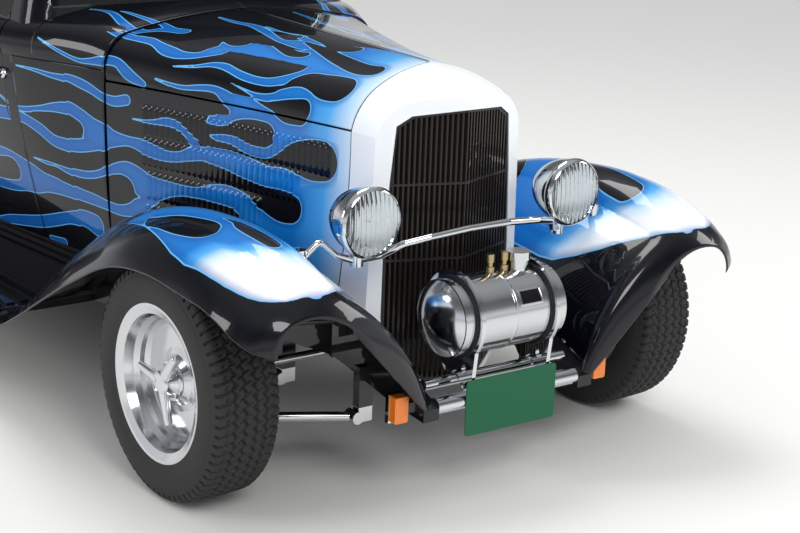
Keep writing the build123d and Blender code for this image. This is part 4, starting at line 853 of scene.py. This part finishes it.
def tyre_profile(radius, width):
    """Closed outline of a tyre, as distance across and radius. The sidewall and the shoulder are
    arcs, and the tread falls a little to its edges."""
    half = width / 2
    lip, bead, edge = half - 6, half - 14.3, half - TREAD_EDGE
    top, bottom = (half - 10, radius - 18), RIM_LIP + RIM_GAP
    wall = arc_points((lip, bottom), (half, (RIM_LIP + radius) / 2), top, 22)
    turn = arc_points(top, (half - 15, radius - 8), (edge, radius - TREAD_FALL), 6)[1:]
    across = np.linspace(edge, 0, 20)[1:]
    tread = pair(across, radius - TREAD_FALL * (across / edge))
    ring = np.array([(bead / 2, RIM_BEAD + RIM_GAP), (bead, RIM_BEAD + RIM_GAP), (bead, bottom)])
    near = np.concatenate([ring, wall, turn, tread])
    return np.concatenate([near, near[:-1][::-1] * [-1, 1]])


def cut(distance, section):
    """Depth of a groove by the distance from its middle: none past its reach in flanks, and whole
    one flank nearer."""
    reach, flank, depth = section
    return np.clip(reach - distance / flank, 0, 1) * depth


def tread_depth(x, r, around, radius, width, pitch):
    """Depth of the moulding: four zigzag grooves round the tyre, slanted sipes between them, slots
    over the shoulders, and two fine rings on the sidewall."""
    half = width / 2
    edge = half - TREAD_EDGE
    zigzag = pitch * 0.16 * (2 * np.abs(2 * ((around / pitch) % 1) - 1) - 1)
    depth = np.zeros(np.broadcast(x, around).shape)
    for place in GROOVE_PLACES:
        depth = np.maximum(depth, cut(np.abs(x - place * edge - zigzag), GROOVE))
    shift = 0.5 * (np.floor(x / edge * 2.3) % 2)
    sipe = np.abs((((around + 0.55 * x) / pitch + shift) % 1) - 0.5) * pitch
    depth = np.maximum(depth, np.where(np.abs(x) < edge * 0.95, cut(sipe, SIPE), 0))
    slot = np.abs((((around + 0.3 * np.abs(x)) / pitch) % 1) - 0.5) * pitch
    over = (np.abs(x) > edge * 0.74) & (r > radius - 24)
    depth = np.maximum(depth, np.where(over, cut(slot, SLOT), 0))
    ring = np.minimum(np.abs(r - RIM_LIP - 14), np.abs(r - radius + 34))
    return depth + np.where(np.abs(x) > half - 12, cut(ring, RING), 0)


def tyre(name, side, y, x, radius, width, pitches, steps):
    """Tyre as its closed profile turned about the axle, pressed in by the tread's depth."""
    profile = tyre_profile(radius, width)
    turn = full_turn(pitches * steps)[:, None]
    across, r = profile.T
    depth = tread_depth(across, r, turn * radius, radius, width, 2 * np.pi * radius / pitches)
    depth = np.where(r > RIM_LIP + 2, depth, 0)
    slope = np.gradient(profile, axis=0)
    normal = pair(slope[:, 1], -slope[:, 0])
    normal /= np.linalg.norm(normal, axis=1, keepdims=True) + 1e-9
    normal *= np.sign((normal * (profile - [0, (RIM_LIP + radius) / 2])).sum(1, keepdims=True))
    across, r = across - depth * normal[:, 0], r - depth * normal[:, 1]
    points = np.stack([side * (x + across), y + r * np.sin(turn), radius + r * np.cos(turn)], -1)
    points = points / 1000
    faces = outward(points, grid_faces(*points.shape[:2], True, True))
    piece = make_piece("tread_" + name, points, faces, "tyre_rubber", "wheel_" + name, "tyre",
                       flat_angle=35)
    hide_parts("tyre_" + name)


def spinner(half, side):
    """Knock-off spinner: a stepped, domed cap and three bars. A bar's section is an ellipse whose
    half width falls from 19 to 10 mm along it, with a round end."""
    grids = [turned([(half + place, radius) for place, radius in SPINNER_CAP])]
    along = np.linspace(0, 1, 26)[:, None]
    turn = full_turn(24)
    end = np.sqrt(np.clip(1 - np.clip((along - 0.9) / 0.1, 0, 1) ** 2, 0, 1))
    wide, deep = (19 - 9 * along) * end * np.cos(turn), (10 - 3.5 * along) * end * np.sin(turn)
    reach = 16 + 99 * along
    for k in range(3):
        aim = side * np.radians(110 + 120 * k)
        points = np.stack([half - 25 + 4 * along + deep, reach * np.cos(aim) - wide * np.sin(aim),
                           reach * np.sin(aim) + wide * np.cos(aim)], -1)
        grids.append((points, outward(points, grid_faces(26, 24, True))))
    return join_grids(grids)


def signed_power(t, exponent=0.25):
    """Power of the size of t, with the sign of t."""
    return np.sign(t) * np.abs(t) ** exponent


def cushion(low, high, bow, channels):
    """Closed upholstered pad in the box low..high: a superellipsoid with exponent 8, its face
    crowned by a bow, and sewn in channels across, as the root of a sine."""
    rows, columns = 44, 160
    v = np.linspace(-np.pi / 2, np.pi / 2, rows)[:, None]
    u = np.linspace(-np.pi, np.pi, columns, endpoint=False)
    x = signed_power(np.cos(v)) * signed_power(np.cos(u))
    y = signed_power(np.cos(v)) * signed_power(np.sin(u))
    z = np.broadcast_to(signed_power(np.sin(v)), x.shape)
    low, high = np.array(low), np.array(high)
    face = np.clip(z, 0, 1)
    crown = (1 - x**2) * (1 - y**2) * bow
    seam = np.sqrt(np.abs(np.sin(np.pi * channels * (x + 1) / 2)) + 1e-6)
    sewn = CHANNEL_DEPTH * (seam - 1) * np.clip((1 - y**4) * 3, 0, 1)
    points = (low + high) / 2 + (high - low) / 2 * np.stack([x, y, z], -1)
    points[..., 2] += face * (crown + sewn) - face * bow
    return points, outward(points, grid_faces(rows, columns, True))


def seat_pads():
    """Seat cushion and back of the bench. The back leans, so its points turn into its own plane."""
    base = cushion((-0.466, 0.297, 0.375), (0.466, 0.722, 0.618), 0.022, 10)
    back, faces = cushion((-0.466, -0.212, -0.082), (0.466, 0.212, 0.0), 0.018, 10)
    axes = np.array([(1, 0, 0), (0, LEAN_SINE, LEAN_COSINE), (0, -LEAN_COSINE, LEAN_SINE)])
    return join_grids([base, (back @ axes + BACK_MIDDLE, faces)])


def door_handle(side):
    """Door handle: a round foot on the door and a lever 105 mm long that tapers rearward."""
    outline = body_outlines(HANDLE_STATION + np.arange(2), False)[0]
    x = np.interp(HANDLE_HEIGHT, outline[:, 1], outline[:, 0])
    y = HANDLE_STATION + FRONT_AXLE
    foot, faces = turned(HANDLE_FOOT, 32)
    foot = foot * [side, 1, 1] + [side * x, y, HANDLE_HEIGHT]
    along = np.linspace(0, 1, 30)[:, None]
    turn = full_turn(20)
    end = np.sqrt(np.clip(1 - np.abs(2 * along - 1) ** 14, 0, 1))
    half = (9.5 - 3.5 * along) * end
    lever = np.stack([side * (x + 25 + 5 * np.sin(np.pi * along) + 0.6 * half * np.cos(turn)),
                      np.broadcast_to(y - 12 + HANDLE_LENGTH * along, (30, 20)),
                      HANDLE_HEIGHT + half * np.sin(turn)], -1)
    points, faces = join_grids([(foot, outward(foot, faces)),
                                (lever, outward(lever, grid_faces(30, 20, True)))])
    return points / 1000, faces


def tank_band():
    """Raised weld band round the tank's middle."""
    across = np.linspace(-1, 1, 9)
    profile = pair(across * 5, TANK_RADIUS + 1.3 * (1 - across**2))
    foot = [(5, TANK_RADIUS - 2), (-5, TANK_RADIUS - 2)]
    points, faces = turned(np.concatenate([profile, foot, profile[:1]]), 96)
    return (points + [0, TANK_Y, TANK_Z]) / 1000, faces


def bent_plate(size, lift):
    """Sheet of the given length and width bent on the tank, with its border folded down to it."""
    u = np.linspace(-1, 1, 18)[:, None] * size[0] / 2
    v = np.linspace(-1, 1, 14) * size[1] / 2
    r = TANK_RADIUS + lift * np.pad(np.ones((16, 12)), 1)
    angle = PLATE_ANGLE + v / TANK_RADIUS
    points = np.stack([np.broadcast_to(PLATE_X + u, r.shape), TANK_Y - r * np.sin(angle),
                       TANK_Z + r * np.cos(angle)], -1)
    return points / 1000, grid_faces(18, 14)


# Stage

# Soft lamps. Columns: name, place, aim, width in metres, power in watts
LAMPS = [
    ("key", (-1.6, -6.4, 4.6), (0, -0.9, 0.6), 2.2, 130.0),
    ("top", (0.6, 0.6, 5.4), (0, -0.3, 0.6), 2.4, 115.0),
    ("side", (5.2, -3.4, 3.0), (0, -0.8, 0.5), 2.0, 70.0),
    ("strip", (-5.4, 0.4, 2.6), (0, -0.6, 0.6), 1.6, 50.0),
]
# Grey of the dome that polished surfaces reflect, against the upward part of the direction
DOME = [(0.0, 0.84), (0.1, 0.8), (0.28, 0.22), (0.5, 0.14), (0.85, 0.5)]
FLOOR_REACH, SKY_LEVEL = 60.0, 0.8


def unit(vector):
    """The vector at a length of one."""
    return vector / np.linalg.norm(vector)


def placed(right, up, back, place):
    """World matrix of a lamp or camera from its axes and place."""
    return Matrix([[right[i], up[i], back[i], place[i]] for i in range(3)] + [[0, 0, 0, 1]])


def lay_floor():
    """Pale, slightly rough studio floor."""
    tree = new_material("studio_floor")
    principled(tree, {"Base Color": linear("ebeae7"), "Roughness": 0.85},
               {"Normal": bump_from(tree, grain(tree, 60.0, 4.0), 0.0004, 0.3)})
    mesh = bpy.data.meshes.new("floor")
    far = FLOOR_REACH
    corners = [(-far, -far, 0), (far, -far, 0), (far, far, 0), (-far, far, 0)]
    mesh.from_pydata(corners, [], [(0, 1, 2, 3)])
    mesh.materials.append(MATERIALS["studio_floor"])
    floor = bpy.data.objects.new("floor", mesh)
    bpy.context.scene.collection.objects.link(floor)


def light_world():
    """Even sky light. Reflections see a dome instead, pale low down and darker above."""
    world = bpy.data.worlds.new("studio")
    bpy.context.scene.world = world
    world.use_nodes = True
    tree = world.node_tree
    tree.nodes.clear()
    direction = add_node(tree, "ShaderNodeTexCoord").outputs["Generated"]
    up = add_node(tree, "ShaderNodeSeparateXYZ", links={0: direction}).outputs["Z"]
    glossy = add_node(tree, "ShaderNodeLightPath").outputs["Is Glossy Ray"]
    dome = ramp(tree, up, [(place, (tone, tone, tone, 1.0)) for place, tone in DOME])
    level = add_node(tree, "ShaderNodeMix", {2: SKY_LEVEL}, {0: glossy, 3: dome}).outputs[0]
    light = add_node(tree, "ShaderNodeBackground", {"Color": linear("f4f6f8")}, {"Strength": level})
    add_node(tree, "ShaderNodeOutputWorld", links={"Surface": light.outputs[0]})


def hang_lamps():
    """Square area lamps, each turned to its aim."""
    for name, place, aim, size, power in LAMPS:
        lamp = bpy.data.lights.new(name, "AREA")
        lamp.size = size
        lamp.energy = power
        holder = bpy.data.objects.new(name, lamp)
        back = unit(np.array(place) - np.array(aim))
        right = unit(np.cross((0, 0, 1), back))
        holder.matrix_world = placed(right, np.cross(back, right), back, place)
        bpy.context.scene.collection.objects.link(holder)


def set_camera(view):
    """Camera from its place, its heading, tilt and roll, and its lens."""
    turn, tilt, roll = view.turn, view.tilt, view.roll
    ahead = np.array([-math.sin(turn) * math.cos(tilt), math.cos(turn) * math.cos(tilt),
                      -math.sin(tilt)])
    right = unit(np.cross(ahead, (0, 0, 1)))
    upward = np.cross(right, ahead)
    across = math.cos(roll) * right + math.sin(roll) * upward
    above = -math.sin(roll) * right + math.cos(roll) * upward
    data = bpy.data.cameras.new("camera")
    data.lens = view.lens
    data.sensor_width = 36.0
    data.sensor_fit = "HORIZONTAL"
    data.clip_end = 200.0
    camera = bpy.data.objects.new("camera", data)
    camera.matrix_world = placed(across, above, -ahead, view.place)
    bpy.context.scene.collection.objects.link(camera)
    bpy.context.scene.camera = camera


# Property groups

class HotRodColours(bpy.types.PropertyGroup):
    """Colours of the lacquer and the flames, as sRGB hex values."""
    navy: bpy.props.StringProperty(name="Navy", description="Ground colour", default="04050f")
    white: bpy.props.StringProperty(name="White", description="Flame at the nose", default="f1f5fa")
    ice: bpy.props.StringProperty(name="Ice", description="Just behind the nose", default="c9e0f4")
    sky: bpy.props.StringProperty(name="Sky", description="On the hood's front", default="4fa9ea")
    blue: bpy.props.StringProperty(name="Blue", description="Flame's main colour", default="127ace")
    deep: bpy.props.StringProperty(name="Deep", description="Tails and edges", default="0b4f9e")
    line: bpy.props.StringProperty(name="Line", description="Pinstripe", default="62b4ee")


class HotRodCamera(bpy.types.PropertyGroup):
    """Camera solved from the photograph."""
    place: bpy.props.FloatVectorProperty(name="Place", description="Camera position", subtype="XYZ",
                                         unit="LENGTH", default=(-3.098, -5.401, 1.944))
    turn: bpy.props.FloatProperty(name="Turn", description="Heading from +Y", subtype="ANGLE",
                                  default=math.radians(-37.41))
    tilt: bpy.props.FloatProperty(name="Tilt", description="Angle below level", subtype="ANGLE",
                                  default=math.radians(15.79))
    roll: bpy.props.FloatProperty(name="Roll", description="Roll about the view", subtype="ANGLE",
                                  default=math.radians(2.09))
    lens: bpy.props.FloatProperty(name="Lens", description="Focal length in millimetres",
                                  default=85.13)


# Operators

class HOTROD_OT_finishes(bpy.types.Operator):
    """Make every finish and put it on the frame's own nodes"""
    bl_idname = "hotrod.finishes"
    bl_label = "Finishes"

    def execute(self, context):
        group = context.scene.hot_rod_colours
        names = ("navy", "white", "ice", "sky", "blue", "deep", "line")
        make_materials({name: getattr(group, name) for name in names})
        slots = {part["node"]: part["material_slot"] for part in frame["record"]["subparts"]}
        for name, node in frame["nodes"].items():
            finish = MATERIALS[NODE_FINISH.get(name, SLOT_FINISH[slots[name]])]
            for entry in node.material_slots:
                entry.material = finish
        return {"FINISHED"}


class HOTROD_OT_hood(bpy.types.Operator):
    """Form the hood tops and the louvred hood sides in one sweep each, with the flames"""
    bl_idname = "hotrod.hood"
    bl_label = "Hood"

    def execute(self, context):
        stations, outline = hood_top()
        paint = body_paint(station_grid(stations, outline), girth_of(outline))
        low_stations, low_outline, smooth = hood_side()
        girth = girth_of(smooth)
        low_paint = body_paint(station_grid(low_stations, low_outline), girth - girth[:, -1:])
        for side, word in SIDES:
            top = panel("hood_top_" + word, "hood_" + word, stations, outline, side, paint,
                        thick=2.0)
            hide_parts("hood_" + word)
            low = panel("hood_side_" + word, "chassis", low_stations, low_outline, side, low_paint,
                        fold=3.0, flat_angle=62)
            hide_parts("hood_sides")
        return {"FINISHED"}


class HOTROD_OT_fenders(bpy.types.Operator):
    """Form the front fenders in one sweep from the rolled lip to the inner edge"""
    bl_idname = "hotrod.fenders"
    bl_label = "Front fenders"

    def execute(self, context):
        stations = np.linspace(FENDER_ROWS[0][0], FENDER_ROWS[-1][0], 210)
        outline = fender_outlines(stations)
        for side, word in SIDES:
            paint = fender_paint(station_grid(stations, outline), outline[..., 0], word)
            fender = panel("front_fender_" + word, "chassis", stations, outline, side, paint,
                           thick=3.0)
            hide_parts("front_fenders")
        return {"FINISHED"}


class HOTROD_OT_skins(bpy.types.Operator):
    """Lay the flames' paint over the cowl and the doors"""
    bl_idname = "hotrod.skins"
    bl_label = "Cowl and door paint"

    def execute(self, context):
        for side, word in SIDES:
            body_skin("cowl_side_paint_" + word, "chassis", "cowl", side, COWL_SIDE, False)
            body_skin("cowl_top_paint_" + word, "chassis", "cowl", side, COWL_TOP, True)
            body_skin("door_paint_" + word, "door_" + word, "door_" + word, side, DOOR, False)
        return {"FINISHED"}


class HOTROD_OT_tyres(bpy.types.Operator):
    """Turn the four tyres with their moulded tread"""
    bl_idname = "hotrod.tyres"
    bl_label = "Tyres"

    def execute(self, context):
        for row in WHEELS:
            tyre(*row)
        return {"FINISHED"}


class HOTROD_OT_spinners(bpy.types.Operator):
    """Fit each wheel's knock-off cap with its three bars"""
    bl_idname = "hotrod.spinners"
    bl_label = "Spinners"

    def execute(self, context):
        for name, side, y, x, radius, width, _, _ in WHEELS:
            points, faces = spinner(width / 2, side)
            points = (points + [x, 0, 0]) * [side, 1, 1] + [0, y, radius]
            faces = faces if side > 0 else faces[:, ::-1]
            make_piece("spinner_" + name, points / 1000, faces, "chrome_plate", "wheel_" + name,
                       "chrome", flat_angle=40)
        return {"FINISHED"}


class HOTROD_OT_seat(bpy.types.Operator):
    """Upholster the bench: a crowned cushion and back in sewn channels"""
    bl_idname = "hotrod.seat"
    bl_label = "Seat"

    def execute(self, context):
        pads = make_piece("bench_pads", *seat_pads(), "seat_leather", "chassis", "seat_leather",
                          flat_angle=80)
        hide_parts("bench_seat")
        return {"FINISHED"}


class HOTROD_OT_fittings(bpy.types.Operator):
    """Door handles, and the tank's weld band and blank data plate"""
    bl_idname = "hotrod.fittings"
    bl_label = "Fittings"

    def execute(self, context):
        for side, word in SIDES:
            make_piece("door_handle_" + word, *door_handle(side), "chrome_plate", "door_" + word,
                       "chrome", flat_angle=50)
        for name, shape, finish in (
            ("tank_band", tank_band(), "polished_aluminium"),
            ("tank_plate_border", bent_plate((78, 46), 1.2), "polished_aluminium"),
            ("tank_plate", bent_plate((71, 39), 1.8), "trim_black"),
        ):
            make_piece(name, *shape, finish, "chassis", "tank_metal", flat_angle=50)
        return {"FINISHED"}


class HOTROD_OT_stage(bpy.types.Operator):
    """Lay the pale floor, hang the soft lamps and set the camera"""
    bl_idname = "hotrod.stage"
    bl_label = "Stage"

    def execute(self, context):
        context.scene.view_settings.view_transform = "Standard"
        lay_floor()
        light_world()
        hang_lamps()
        set_camera(context.scene.hot_rod_camera)
        return {"FINISHED"}


class HOTROD_PT_panel(bpy.types.Panel):
    """Buttons for the coupe's pieces in the 3D view's sidebar"""
    bl_label = "Hot Rod"
    bl_idname = "HOTROD_PT_panel"
    bl_space_type = "VIEW_3D"
    bl_region_type = "UI"
    bl_category = "Hot Rod"

    def draw(self, context):
        for step in STEPS:
            self.layout.operator(step.bl_idname)


STEPS = (HOTROD_OT_finishes, HOTROD_OT_hood, HOTROD_OT_fenders, HOTROD_OT_skins, HOTROD_OT_tyres,
         HOTROD_OT_spinners, HOTROD_OT_seat, HOTROD_OT_fittings, HOTROD_OT_stage)
GROUPS = (("hot_rod_colours", HotRodColours), ("hot_rod_camera", HotRodCamera))


def register():
    """Register the property groups, the operators and the panel."""
    for name, group in GROUPS:
        bpy.utils.register_class(group)
        setattr(bpy.types.Scene, name, bpy.props.PointerProperty(type=group))
    for step in STEPS:
        bpy.utils.register_class(step)
    bpy.utils.register_class(HOTROD_PT_panel)


def unregister():
    """Undo register, last first."""
    bpy.utils.unregister_class(HOTROD_PT_panel)
    for step in reversed(STEPS):
        bpy.utils.unregister_class(step)
    for name, group in reversed(GROUPS):
        delattr(bpy.types.Scene, name)
        bpy.utils.unregister_class(group)


def main():
    """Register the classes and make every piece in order."""
    register()
    for step in STEPS:
        group, action = step.bl_idname.split(".")
        getattr(getattr(bpy.ops, group), action)()


if __name__ == "__main__":
    main()
